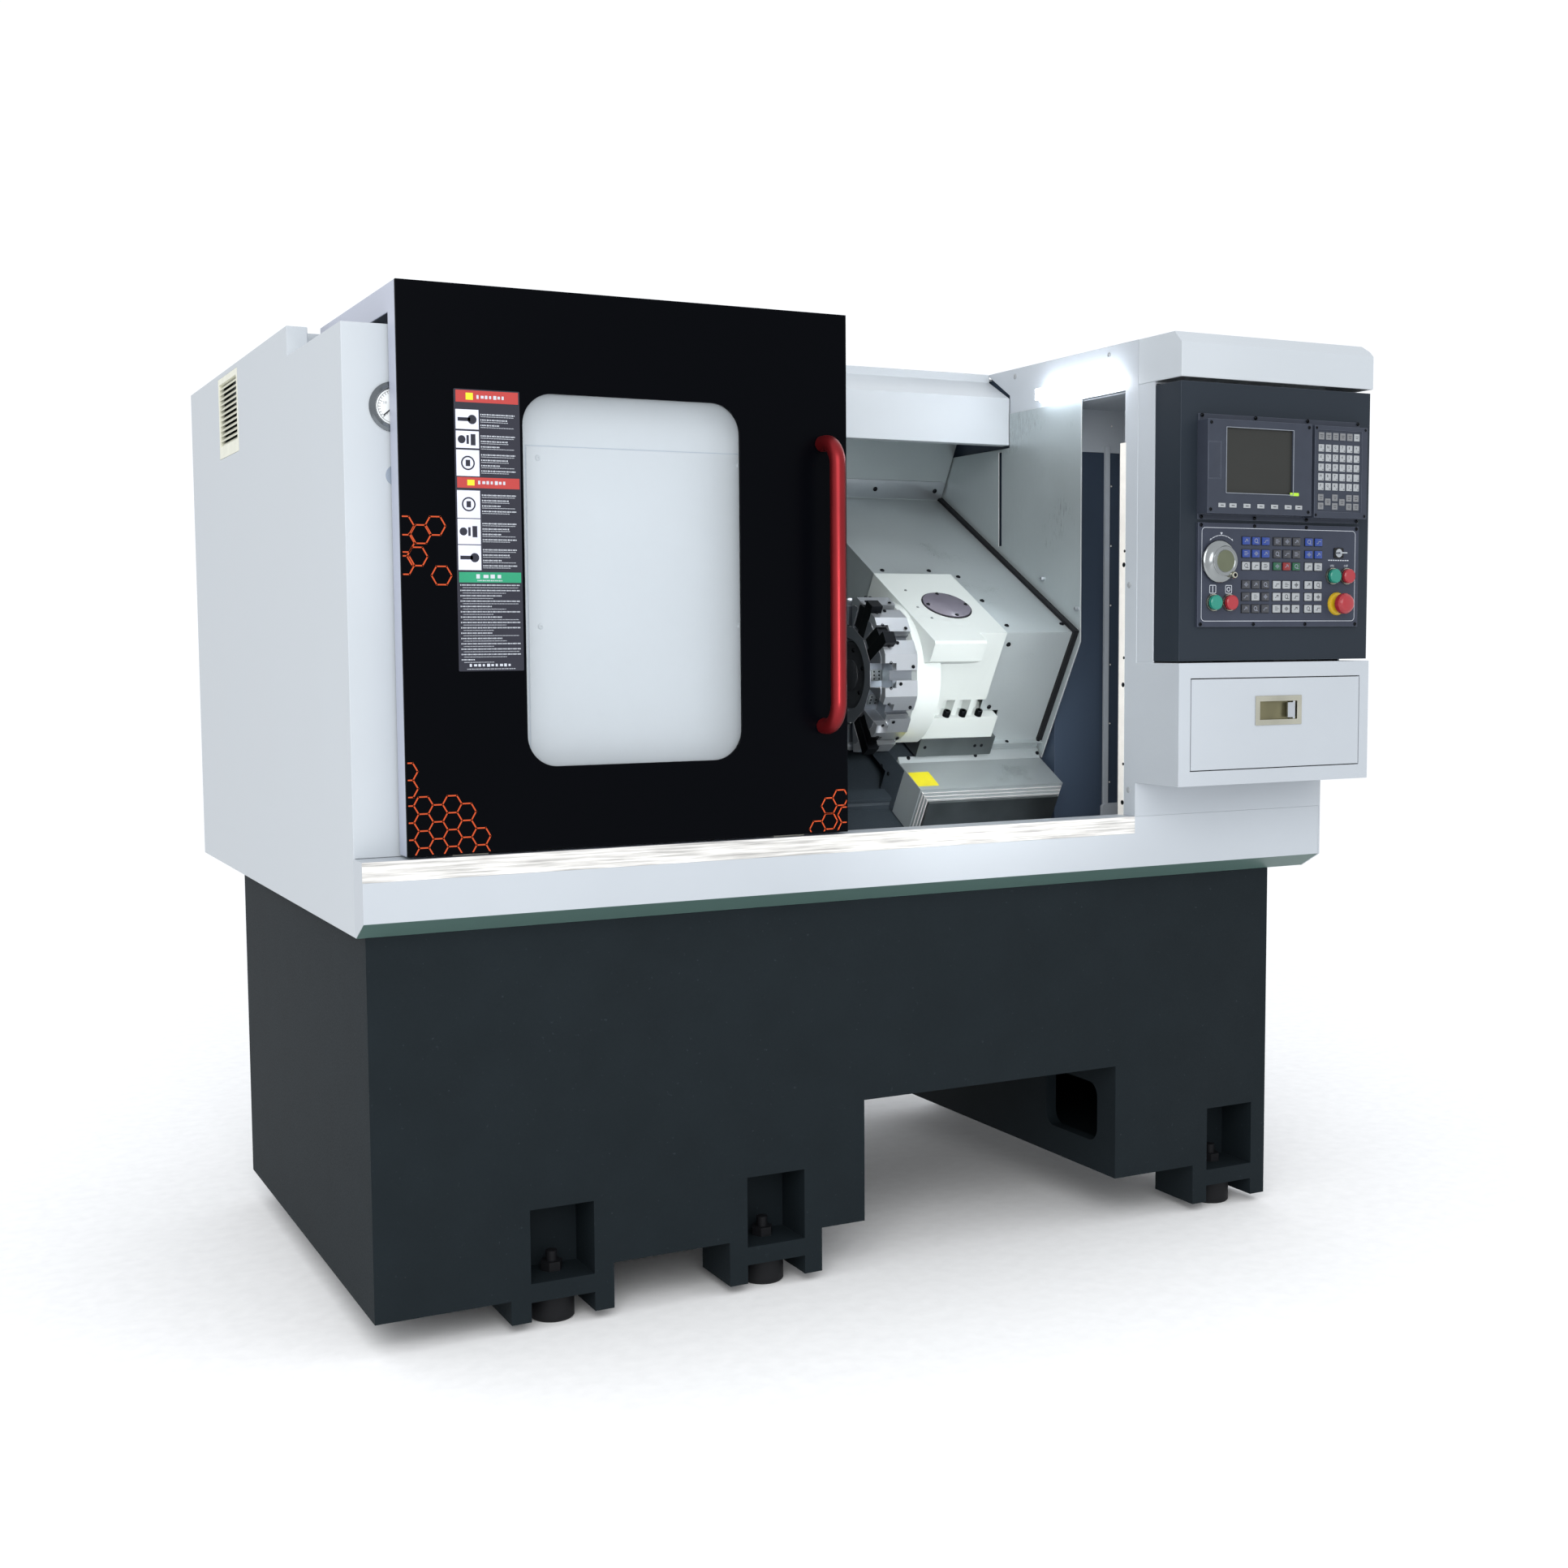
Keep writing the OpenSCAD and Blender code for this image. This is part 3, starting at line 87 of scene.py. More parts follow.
class Lay(Enum):
    """The way a brushed finish runs: the stretch of its scratches along X, Y and Z."""

    ALONG_X = (1.0, 30.0, 30.0)
    ALONG_Z = (30.0, 30.0, 1.0)
    CROSSED = (1.0, 1.0, 1.0)


def srgb(hex_value: str) -> Colour:
    """Turns an sRGB hex colour into linear values.

    Args:
        hex_value: The colour, such as "#dfe5ea".

    Returns:
        Linear red, green and blue, and a full alpha.
    """
    parts = [int(hex_value[i : i + 2], 16) / 255 for i in (1, 3, 5)]
    linear = [p / 12.92 if p <= 0.04045 else ((p + 0.055) / 1.055) ** 2.4 for p in parts]
    return (*linear, 1.0)


def add_node(tree: Tree, kind: str, links: dict | None = None, **settings: object) -> bpy.types.Node:
    """Adds a shader node with its settings and inputs.

    Args:
        tree: The material's node tree.
        kind: The node's type name.
        links: Input name or number to a value, or to the socket that feeds it.
        settings: Attributes to set on the node first.

    Returns:
        The new node.
    """
    node = tree.nodes.new(kind)
    for key, value in settings.items():
        setattr(node, key, value)
    for key, value in (links or {}).items():
        if isinstance(value, Socket):
            tree.links.new(value, node.inputs[key])
        else:
            node.inputs[key].default_value = value
    return node


# ---------------------------------------------------------------- finishes
@dataclass(frozen=True)
class Finish:
    """A surface finish with one base colour; the other finishes add to it. Grains are in millimetres."""

    name: str
    colour: str
    roughness: float = 0.5
    metallic: float = 0.0
    specular: float = 0.5

    def material(self) -> bpy.types.Material:
        """Returns the finish's material, making it the first time."""
        found = bpy.data.materials.get(self.name)
        if found is None:
            found = bpy.data.materials.new(self.name)
            found.use_nodes = True
            tree = found.node_tree
            tree.nodes.clear()
            settings = {"Base Color": srgb(self.colour), "Roughness": self.roughness}
            settings |= {"Metallic": self.metallic, "Specular IOR Level": self.specular}
            shader = add_node(tree, "ShaderNodeBsdfPrincipled", settings)
            add_node(tree, "ShaderNodeOutputMaterial", {"Surface": shader.outputs[0]})
            self.dress(tree, shader)
            found.diffuse_color = srgb(self.colour)
        return found

    def dress(self, tree: Tree, shader: bpy.types.Node) -> None:
        """Adds the finish's own nodes.

        Args:
            tree: The material's node tree.
            shader: Its principled shader.
        """

    def place(self, tree: Tree) -> Socket:
        """Returns the object coordinates, in metres."""
        return add_node(tree, "ShaderNodeTexCoord").outputs["Object"]

    def noise(self, tree: Tree, size_mm: float, detail: float = 2.0, lay: Lay = Lay.CROSSED) -> Socket:
        """Adds a noise whose grain has a real size.

        Args:
            tree: The material's node tree.
            size_mm: The grain's size across, in millimetres.
            detail: How many finer levels it has.
            lay: The way the grain is drawn out.

        Returns:
            The noise's value.
        """
        spread = add_node(tree, "ShaderNodeMapping", {"Vector": self.place(tree), "Scale": lay.value})
        settings = {"Vector": spread.outputs[0], "Scale": 1000 / size_mm, "Detail": detail}
        return add_node(tree, "ShaderNodeTexNoise", settings).outputs[0]

    def spread(self, tree: Tree, value: Socket, low: float, high: float) -> Socket:
        """Maps a noise's middle stretch to a range of values."""
        settings = {0: value, "From Min": 0.3, "From Max": 0.7, "To Min": low, "To Max": high}
        return add_node(tree, "ShaderNodeMapRange", settings).outputs[0]

    def tint(self, tree: Tree, value: Socket, one: Colour | Socket, two: Colour | Socket) -> Socket:
        """Mixes two colours by a value."""
        return add_node(tree, "ShaderNodeMix", {0: value, 6: one, 7: two}, data_type="RGBA").outputs[2]

    def mottle(self, tree: Tree, value: Socket, amount: float, lift: float = 1.0) -> Socket:
        """Makes the finish's own colour darker and lighter by turns.

        Args:
            tree: The material's node tree.
            value: The noise it follows.
            amount: How much darker it gets, as a part of the colour.
            lift: How much of that it gets lighter.

        Returns:
            The colour.
        """
        darker, lighter = shade(self.colour, 1 - amount), shade(self.colour, 1 + amount * lift)
        return self.tint(tree, self.spread(tree, value, 0.0, 1.0), darker, lighter)

    def bump(self, tree: Tree, height: Socket, depth_mm: float, strength: float) -> Socket:
        """Turns a height into a normal, with the relief's real depth."""
        settings = {"Height": height, "Distance": depth_mm * MM, "Strength": strength}
        return add_node(tree, "ShaderNodeBump", settings).outputs[0]


def shade(colour: str, factor: float) -> Colour:
    """Returns a hex colour made lighter or darker, as linear values."""
    return (*(min(1.0, part * factor) for part in srgb(colour)[:3]), 1.0)


@dataclass(frozen=True)
class PowderCoat(Finish):
    """Powder-coated sheet: an even satin skin with a fine orange peel and a faint cloudiness."""

    peel_mm: float = 2.0
    relief: float = 0.12
    cloud: float = 0.02
    cloud_mm: float = 260.0
    under: str = ""

    def dress(self, tree: Tree, shader: bpy.types.Node) -> None:
        """Adds cloudiness, orange peel and the darker underside, which paints shade and a reflection of the
        floor on faces that look down.
        """
        cloud = self.noise(tree, self.cloud_mm, 3.0)
        colour = self.mottle(tree, cloud, self.cloud)
        # faces that look down get the under colour: painted shade and a painted reflection of the floor
        if self.under:
            normal = add_node(tree, "ShaderNodeNewGeometry").outputs["Normal"]
            up = add_node(tree, "ShaderNodeSeparateXYZ", {0: normal}).outputs["Z"]
            below = add_node(tree, "ShaderNodeMath", {0: up, 1: -0.4}, operation="LESS_THAN")
            colour = self.tint(tree, below.outputs[0], colour, srgb(self.under))
        tree.links.new(colour, shader.inputs["Base Color"])
        rough = self.spread(tree, cloud, self.roughness - 0.03, self.roughness + 0.03)
        tree.links.new(rough, shader.inputs["Roughness"])
        peel = self.noise(tree, self.peel_mm, 2.0)
        tree.links.new(self.bump(tree, peel, 0.05, self.relief), shader.inputs["Normal"])


@dataclass(frozen=True)
class TexturedCoat(PowderCoat):
    """Hammer-textured powder coat, as on control boxes: pimples under a satin skin."""

    peel_mm: float = 1.6
    relief: float = 0.5
    cloud: float = 0.05


@dataclass(frozen=True)
class CastPaint(Finish):
    """Enamel over filled cast iron: nearly flat, slightly wavy, with dusty spots low down."""

    wave_mm: float = 90.0
    grain_mm: float = 3.0
    speck_mm: float = 7.0
    dust: str = "#5a6066"

    def dress(self, tree: Tree, shader: bpy.types.Node) -> None:
        """Adds waviness, a fine roller grain and specks of dust."""
        wave = self.noise(tree, self.wave_mm, 2.0)
        grain = self.noise(tree, self.grain_mm, 3.0)
        base = self.mottle(tree, wave, 0.06)
        specks = self.noise(tree, self.speck_mm, 4.0)
        thin_out = {0: specks, "From Min": 0.69, "From Max": 0.76, "To Max": 0.35}
        few = add_node(tree, "ShaderNodeMapRange", thin_out).outputs[0]
        tree.links.new(self.tint(tree, few, base, srgb(self.dust)), shader.inputs["Base Color"])
        rough = self.spread(tree, grain, self.roughness - 0.06, self.roughness + 0.06)
        tree.links.new(rough, shader.inputs["Roughness"])
        slow = self.bump(tree, wave, 1.0, 0.12)
        relief = {"Height": grain, "Distance": 0.15 * MM, "Strength": 0.18, "Normal": slow}
        tree.links.new(add_node(tree, "ShaderNodeBump", relief).outputs[0], shader.inputs["Normal"])


@dataclass(frozen=True)
class SheetSteel(Finish):
    """Stainless or zinc sheet: metal with a drawn grain, smudges and rolled waviness."""

    metallic: float = 1.0
    lay: Lay = Lay.ALONG_X
    grain_mm: float = 1.2
    smudge: float = 0.1
    smudge_mm: float = 140.0
    scratch: float = 0.1

    def dress(self, tree: Tree, shader: bpy.types.Node) -> None:
        """Adds the drawn grain, smudges and a faint waviness."""
        grain = self.noise(tree, self.grain_mm * 20, 4.0, self.lay)
        smudge = self.noise(tree, self.smudge_mm, 5.0)
        clean = self.mottle(tree, smudge, self.smudge, 0.6)
        lines = self.spread(tree, grain, 0, 1)
        colour = self.tint(tree, lines, shade(self.colour, 1 - self.scratch), clean)
        tree.links.new(colour, shader.inputs["Base Color"])
        rough = add_node(
            tree,
            "ShaderNodeMath",
            {
                0: self.spread(tree, smudge, self.roughness - 0.06, self.roughness + 0.08),
                1: self.spread(tree, grain, -0.05, 0.05),
            },
            operation="ADD",
        )
        tree.links.new(rough.outputs[0], shader.inputs["Roughness"])
        tree.links.new(self.bump(tree, grain, 0.03, 0.25), shader.inputs["Normal"])


@dataclass(frozen=True)
class MachinedSteel(Finish):
    """Turned or ground steel: bright metal with fine tool marks and oily patches."""

    metallic: float = 1.0
    mark_mm: float = 0.8
    oil: float = 0.12
    oil_mm: float = 60.0

    def dress(self, tree: Tree, shader: bpy.types.Node) -> None:
        """Adds tool marks and oily patches."""
        marks = self.noise(tree, self.mark_mm * 12, 0.0, Lay.ALONG_X)
        oil = self.noise(tree, self.oil_mm, 1.0)
        tree.links.new(self.mottle(tree, oil, self.oil), shader.inputs["Base Color"])
        rough = self.spread(tree, marks, self.roughness - 0.02, self.roughness + 0.02)
        tree.links.new(rough, shader.inputs["Roughness"])


@dataclass(frozen=True)
class Gloss(Finish):
    """Lacquered or moulded gloss: a clear coat over a plain colour, with faint waviness."""

    coat: float = 0.6
    wave_mm: float = 60.0

    def dress(self, tree: Tree, shader: bpy.types.Node) -> None:
        """Adds the clear coat and waviness."""
        shader.inputs["Coat Weight"].default_value = self.coat
        shader.inputs["Coat Roughness"].default_value = 0.04
        wave = self.noise(tree, self.wave_mm, 2.0)
        tree.links.new(self.mottle(tree, wave, 0.03), shader.inputs["Base Color"])
        tree.links.new(self.bump(tree, wave, 0.1, 0.04), shader.inputs["Normal"])


@dataclass(frozen=True)
class Moulded(Finish):
    """Moulded plastic or rubber: a fine spark-eroded texture."""

    texture_mm: float = 0.8
    relief: float = 0.2
    shade_mm: float = 30.0

    def dress(self, tree: Tree, shader: bpy.types.Node) -> None:
        """Adds the mould's texture."""
        skin = self.noise(tree, self.texture_mm, 2.0)
        broad = self.noise(tree, self.shade_mm, 3.0)
        tree.links.new(self.mottle(tree, broad, 0.05), shader.inputs["Base Color"])
        tree.links.new(self.bump(tree, skin, 0.04, self.relief), shader.inputs["Normal"])


@dataclass(frozen=True)
class ClearPane(Finish):
    """Clear safety glass or polycarbonate."""

    alpha: float = 0.12
    smear_mm: float = 120.0

    def dress(self, tree: Tree, shader: bpy.types.Node) -> None:
        """Makes the pane see-through with a glossy face."""
        shader.inputs["Alpha"].default_value = self.alpha
        shader.inputs["Coat Weight"].default_value = 0.5
        smear = self.noise(tree, self.smear_mm, 4.0)
        rough = self.spread(tree, smear, self.roughness, self.roughness + 0.05)
        tree.links.new(rough, shader.inputs["Roughness"])


@dataclass(frozen=True)
class Glow(Finish):
    """A lit diffuser."""

    strength: float = 6.0

    def dress(self, tree: Tree, shader: bpy.types.Node) -> None:
        """Makes the diffuser shine."""
        shader.inputs["Emission Color"].default_value = srgb(self.colour)
        shader.inputs["Emission Strength"].default_value = self.strength


class Finishes:
    """Every finish on the machine."""

    # powder-coated sheet steel: slightly bluish white, satin
    WHITE = PowderCoat("powder_coat_white", "#b5bbc0", 0.4, specular=0.35)
    # the same coat on the column and its drawer, a shade greyer to paint the shade on these lower front faces
    COLUMN = PowderCoat("powder_coat_column", "#afb5bb", 0.4, specular=0.35)
    # the same coat on the apron, a shade greyer as painted shade; its bevelled edge below gets a painted
    # grey-green shade and floor reflection
    APRON = PowderCoat("powder_coat_apron", "#b0b6bc", 0.4, specular=0.35, under="#4f6863")
    # the door's folded shell, a cooler lilac white
    SHELL = PowderCoat("powder_coat_lilac", "#acb1c0", 0.4)
    # back-painted acrylic front: deep black, even, with little glare
    DOOR = Gloss("black_lacquer", "#030407", 0.3, specular=0.03, coat=0.0, wave_mm=400)
    # two-pack enamel on filled cast iron: dark blue-grey, half matt
    BASE = CastPaint("base_enamel", "#181f23", 0.7, specular=0.1, dust="#3a4248")
    # a lighter enamel on the castings inside: bed, headstock and saddle
    BED = CastPaint("bed_enamel", "#353d44", 0.5, specular=0.3)
    # fine-textured dark coat on the control box
    BOX = TexturedCoat("textured_dark_coat", "#242b33", 0.55, specular=0.15)
    # moulded housing of the display unit
    UNIT = Moulded("moulded_dark_grey", "#333843", 0.5, specular=0.2, texture_mm=1.0)
    # printed polyester membrane: even, faintly grained
    PANEL = Moulded("polyester_membrane", "#343946", 0.5, specular=0.2, texture_mm=1.2, relief=0.1)
    # slate-blue powder coat on the jamb, dark enamel on the motors
    JAMB = PowderCoat("powder_coat_slate", "#333e4d", 0.42, specular=0.3)
    MOTOR = PowderCoat("motor_enamel", "#23282d", 0.45)
    # cold-rolled stainless sheet, cut and folded: a fine drawn grain and soft smudges
    STAINLESS = SheetSteel("stainless_sheet", "#a9b2b4", 0.34, metallic=0.5, lay=Lay.ALONG_Z, scratch=0.06)
    LINING = SheetSteel("stainless_lining", "#929d9d", 0.42, metallic=0.6, scratch=0.06)
    # long-grain brushed strip on the sill
    SILL = SheetSteel("brushed_sill", "#f0eeea", 0.5, metallic=0.1, grain_mm=4.5, scratch=0.6)
    # zinc-coated pan: grey, dull, cloudy
    PAN = SheetSteel("galvanised_pan", "#b4bcc2", 0.5, metallic=0.6, smudge=0.12)
    # light grey enamel on the cast turret housing
    TURRET = PowderCoat("turret_enamel", "#b7bebc", 0.3)
    # surface-ground and turned steel: bright, with fine even marks
    DISC = MachinedSteel("ground_disc", "#7d838a", 0.32, metallic=0.8, mark_mm=0.6, oil=0.04)
    BRIGHT = MachinedSteel("bright_steel", "#b0b5ba", 0.3, metallic=0.8, mark_mm=0.6, oil=0.04)
    DULL = MachinedSteel("dull_steel", "#7f8586", 0.42, mark_mm=1.4)
    # chemically blackened steel: near black with an oily gloss
    OXIDE = MachinedSteel("black_oxide", "#1c1e21", 0.36, oil=0.2)
    # nickel-chrome plate: a mirror with a warm tinge
    CHROME = MachinedSteel("chrome_plate", "#b3b2a4", 0.12, oil=0.1)
    SPUN = MachinedSteel("turned_chrome", "#8d9192", 0.2, oil=0.12)
    # anodised aluminium tube: deep red with a metallic gloss
    ANODISED = MachinedSteel("red_anodised", "#7d1a1f", 0.36, metallic=0.75, oil=0.06)
    # moulded vent
    CREAM = Moulded("cream_abs", "#d9d9c9", 0.45)
    # moulded key caps and buttons: hard, glossy or half matt
    GREEN_KEY = Gloss("green_key", "#0a4d32", 0.3, specular=0.3)
    GREEN = Gloss("green_button", "#117a69", 0.3, specular=0.4, coat=0.3)
    RED = Gloss("red_button", "#98202a", 0.3, specular=0.4, coat=0.3)
    RED_KEY = Gloss("red_key", "#761013", 0.3, specular=0.3)
    BLUE_KEY = Gloss("blue_key", "#10347f", 0.3, specular=0.3)
    DARK_KEY = Gloss("dark_key", "#262931", 0.3, specular=0.4)
    LIGHT_KEY = Moulded("light_key", "#999da0", 0.4, specular=0.3)
    GREY_KEY = Moulded("grey_key", "#6f7174", 0.4)
    YELLOW = Moulded("yellow_abs", "#bd9c17", 0.4)
    # vinyl stickers
    FIELD = Moulded("yellow_film", "#d9cf1c", 0.35, texture_mm=1.5, relief=0.05)
    TAG = Moulded("green_film", "#a3cf2b", 0.35)
    # black plastic, rubber, and the nylon of buffer and slides
    BLACK = Moulded("black_abs", "#0e0f12", 0.4, specular=0.3)
    RUBBER = Moulded("black_rubber", "#121316", 0.6, specular=0.2, texture_mm=2.0)
    BUFFER = Moulded("grey_nylon", "#8c97a5", 0.5)
    NYLON = Moulded("nylon_slide", "#dedccf", 0.4)
    # screen-printed inks; seam_shadow is painted shadow in the gap round the service panel
    INK_LIGHT = Moulded("light_ink", "#b9bec6", 0.5)
    INK_SOFT = Moulded("grey_ink", "#7d8290", 0.5)
    INK_DARK = Moulded("dark_ink", "#1c1f24", 0.5)
    INK_SEAM = Moulded("seam_shadow", "#8f9cab", 0.6)
    INK_ORANGE = Moulded("orange_ink", "#b8471f", 0.45, specular=0.2)
    # vinyl label film
    FILM_NAVY = Moulded("navy_film", "#23242f", 0.4, specular=0.3, texture_mm=1.5, relief=0.05)
    FILM_RED = Moulded("red_film", "#a8302c", 0.4, texture_mm=1.5, relief=0.05)
    FILM_GREEN = Moulded("jade_film", "#138a63", 0.4, texture_mm=1.5, relief=0.05)
    FILM_PALE = Moulded("pale_film", "#ced1e0", 0.4, texture_mm=1.5, relief=0.05)
    # printed dial, and the anodised cap of the handwheel
    DIAL = Moulded("dial_face", "#e4e7e7", 0.4)
    OLIVE = MachinedSteel("olive_anodised", "#6f7461", 0.3, oil=0.1)
    # painted highlight: lighter colours on the rounded edges, where light catches them
    BOX_EDGE = TexturedCoat("textured_dark_edge_highlight", "#4b545f", 0.45, specular=0.4)
    UNIT_EDGE = Moulded("moulded_dark_edge_highlight", "#5a606d", 0.4, specular=0.4)
    SHEET_EDGE = MachinedSteel("sheet_edge_highlight", "#dcd9d8", 0.3, metallic=0.3, oil=0.04)
    # clear cover over the housing's works, smoky with coolant
    SIGHT = Moulded("smoky_cover", "#625f6a", 0.25, texture_mm=6.0, relief=0.1)
    # white strip folded into the jamb: its own white, made brighter than the casing's to paint the strong
    # light on it
    STRIP = Moulded("jamb_strip", "#f1ede6", 0.4)
    # inside of the pull's cup: plating darkened to paint the shade in the recess
    CUP = MachinedSteel("cup_plate_painted_shade", "#7a765a", 0.3, metallic=0.7, oil=0.2)
    # polished rim of the gauge, darkened to paint the shade and dark reflections on its chrome; bezel of the
    # screen, cover of the turret's hub
    RIM = MachinedSteel("gauge_rim", "#6b7074", 0.16, oil=0.15)
    BEZEL = Moulded("bright_bezel", "#7d838c", 0.35)
    HUB = Moulded("hub_cover", "#1d1f22", 0.5, specular=0.3)
    # switched-off display: dark olive behind an anti-glare face
    SCREEN = Gloss("switched_off_display", "#2c2d2b", 0.35, specular=0.2, coat=0.0)
    # laminated safety glass
    GLASS = ClearPane("door_glass", "#dfe8ee", 0.03)
    # frosted diffuser of the work lamp
    LAMP = Glow("lamp_diffuser", "#f2f7ff", 0.4, strength=14.0)


# ---------------------------------------------------------------- mesh work
@dataclass(frozen=True)
class Face:
    """A flat face to lay marks on: its corner, its way right and its way up.

    Places on it are millimetres.
    """

    corner: Vector
    right: Vector
    up: Vector

    @property
    def out(self) -> Vector:
        """The way out of the face."""
        return self.right.cross(self.up)

    def at(self, x: float, y: float, rise: float = 0.0) -> Vector:
        """Returns a point x to the right, y up and rise out of the face."""
        return self.corner + (self.right * x + self.up * y + self.out * rise) * MM

    def turn(self, x: float, y: float, rise: float = 0.0) -> Matrix:
        """Returns the matrix that takes X, Y, Z to right, up, out at a point."""
        axes = Matrix((self.right, self.up, self.out)).transposed().to_4x4()
        return Matrix.Translation(self.at(x, y, rise)) @ axes


def round_outline(x0: float, y0: float, x1: float, y1: float, radius: float, steps: int = 5) -> list[Point]:
    """Returns the corners of a rectangle with round corners.

    Args:
        x0: Its left side.
        y0: Its lower side.
        x1: Its right side.
        y1: Its upper side.
        radius: The radius of its corners.
        steps: The number of steps round each corner.

    Returns:
        The corners, anticlockwise from the lower right one.
    """
    points = []
    for cx, cy, start in ((x1, y0, -90), (x1, y1, 0), (x0, y1, 90), (x0, y0, 180)):
        mx = cx - radius if cx == x1 else cx + radius
        my = cy - radius if cy == y1 else cy + radius
        for i in range(steps + 1):
            a = math.radians(start + 90 * i / steps)
            points.append((mx + radius * math.cos(a), my + radius * math.sin(a)))
    return points


def ring_outline(x: float, y: float, radius: float, sides: int = 32) -> list[Point]:
    """Returns the corners of a regular polygon, the first one to the right."""
    angles = [math.tau * i / sides for i in range(sides)]
    return [(x + radius * math.cos(a), y + radius * math.sin(a)) for a in angles]


def joined(start: bmesh.types.BMVert) -> set[bmesh.types.BMVert]:
    """Returns a vertex and all the vertices that edges join to it.

    Args:
        start: The vertex.

    Returns:
        The whole island.
    """
    seen, todo = {start}, [start]
    while todo:
        vert = todo.pop()
        for edge in vert.link_edges:
            other = edge.other_vert(vert)
            if other not in seen:
                seen.add(other)
                todo.append(other)
    return seen


def facing(at: Vector, axis: Vector) -> Matrix:
    """Returns the matrix that takes +Z to an axis at a point."""
    return Matrix.Translation(at) @ axis.to_track_quat("Z", "Y").to_matrix().to_4x4()


class Shaper:
    """One mesh in the making, shaped with bmesh operators and finished as a piece."""

    def __init__(self) -> None:
        """Starts an empty mesh."""
        self.bm = bmesh.new()

    def _place(self, verts: Sequence[bmesh.types.BMVert], matrix: Matrix) -> None:
        """Moves vertices by a matrix."""
        bmesh.ops.transform(self.bm, matrix=matrix, verts=list(verts))

    def block(self, low: Vector, high: Vector, edge: float = 0.0) -> "Shaper":
        """Adds a box with rounded edges.

        Args:
            low: Its lowest corner.
            high: Its highest corner.
            edge: The width of its rounded edges.

        Returns:
            The shaper.
        """
        made = bmesh.ops.create_cube(self.bm, size=1.0)["verts"]
        self._place(made, Matrix.Translation((low + high) / 2) @ Matrix.Diagonal((*(high - low), 1.0)))
        if edge:
            self._bevel({e for v in made for e in v.link_edges}, edge)
        return self

    def _bevel(self, edges: Iterable[bmesh.types.BMEdge], width: float) -> None:
        """Rounds edges."""
        bmesh.ops.bevel(
            self.bm, geom=list(edges), offset=width, offset_type="OFFSET", segments=2, profile=0.5,
            affect="EDGES", material=-1, clamp_overlap=True,
        )

    def rod(self, start: Vector, end: Vector, radius: float, sides: int) -> "Shaper":
        """Adds a round bar between two points.

        Args:
            start: The middle of its first end.
            end: The middle of its other end.
            radius: Its radius.
            sides: The number of its flats.

        Returns:
            The shaper.
        """
        along = end - start
        made = bmesh.ops.create_cone(
            self.bm, cap_ends=True, segments=sides, radius1=radius, radius2=radius, depth=along.length
        )["verts"]
        self._place(made, facing((start + end) / 2, along))
        return self

    def turned(self, profile: Sequence[Point], at: Vector, axis: Vector, steps: int = 32) -> "Shaper":
        """Adds a turned shape.

        Args:
            profile: Radius and height pairs in metres, from bottom to top, or all round a ring's section.
            at: Where the axis starts.
            axis: The way the height runs.
            steps: The number of steps round it.

        Returns:
            The shaper.
        """
        verts = [self.bm.verts.new((r, 0.0, h)) for r, h in profile]
        edges = [self.bm.edges.new(pair) for pair in zip(verts, verts[1:])]
        bmesh.ops.spin(
            self.bm, geom=verts + edges, cent=(0, 0, 0), axis=(0, 0, 1), angle=math.tau, steps=steps,
            use_merge=True, use_duplicate=False,
        )
        made = list(joined(verts[len(verts) // 2]))
        bmesh.ops.remove_doubles(self.bm, verts=made, dist=FINE_WELD)
        made = [v for v in made if v.is_valid]
        self._place(made, facing(at, axis))
        return self

    def sheet(self, outline: Sequence[Vector], depth: Vector, edge: float = 0.0) -> "Shaper":
        """Adds a flat plate from its outline.

        Args:
            outline: The corners of one face.
            depth: The way and distance the face is drawn out to.
            edge: The width of the rounding on the far face.

        Returns:
            The shaper.
        """
        face = self.bm.faces.new([self.bm.verts.new(p) for p in outline])
        out = bmesh.ops.extrude_face_region(self.bm, geom=[face])["geom"]
        verts = [g for g in out if isinstance(g, bmesh.types.BMVert)]
        bmesh.ops.translate(self.bm, verts=verts, vec=depth)
        if edge:
            self._bevel({e for g in out if isinstance(g, bmesh.types.BMFace) for e in g.edges}, edge)
        return self

    def stamp(self, other: bpy.types.Mesh, places: Iterable[Matrix]) -> "Shaper":
        """Adds copies of a small mesh.

        Args:
            other: The mesh to copy.
            places: Where each copy goes.

        Returns:
            The shaper.
        """
        for place in places:
            before = len(self.bm.verts)
            self.bm.from_mesh(other)
            self.bm.verts.ensure_lookup_table()
            self._place(self.bm.verts[before:], place)
        return self

    def plate(
        self, face: Face, outline: Sequence[Point], thick: float = 0.3, rise: float = 0.0, edge: float = 0.0
    ) -> "Shaper":
        """Adds a thin plate on a face.

        Args:
            face: The face it lies on.
            outline: Its corners, to the right and up, in millimetres.
            thick: Its thickness in millimetres.
            rise: How far above the face its back lies.
            edge: The width of its rounded rim in millimetres.

        Returns:
            The shaper.
        """
        return self.sheet([face.at(x, y, rise) for x, y in outline], face.out * thick * MM, edge * MM)

    def tile(
        self, face: Face, x0: float, y0: float, x1: float, y1: float, thick: float = 0.3, rise: float = 0.0
    ) -> "Shaper":
        """Adds a thin rectangle on a face."""
        return self.plate(face, [(x0, y0), (x1, y0), (x1, y1), (x0, y1)], thick, rise)

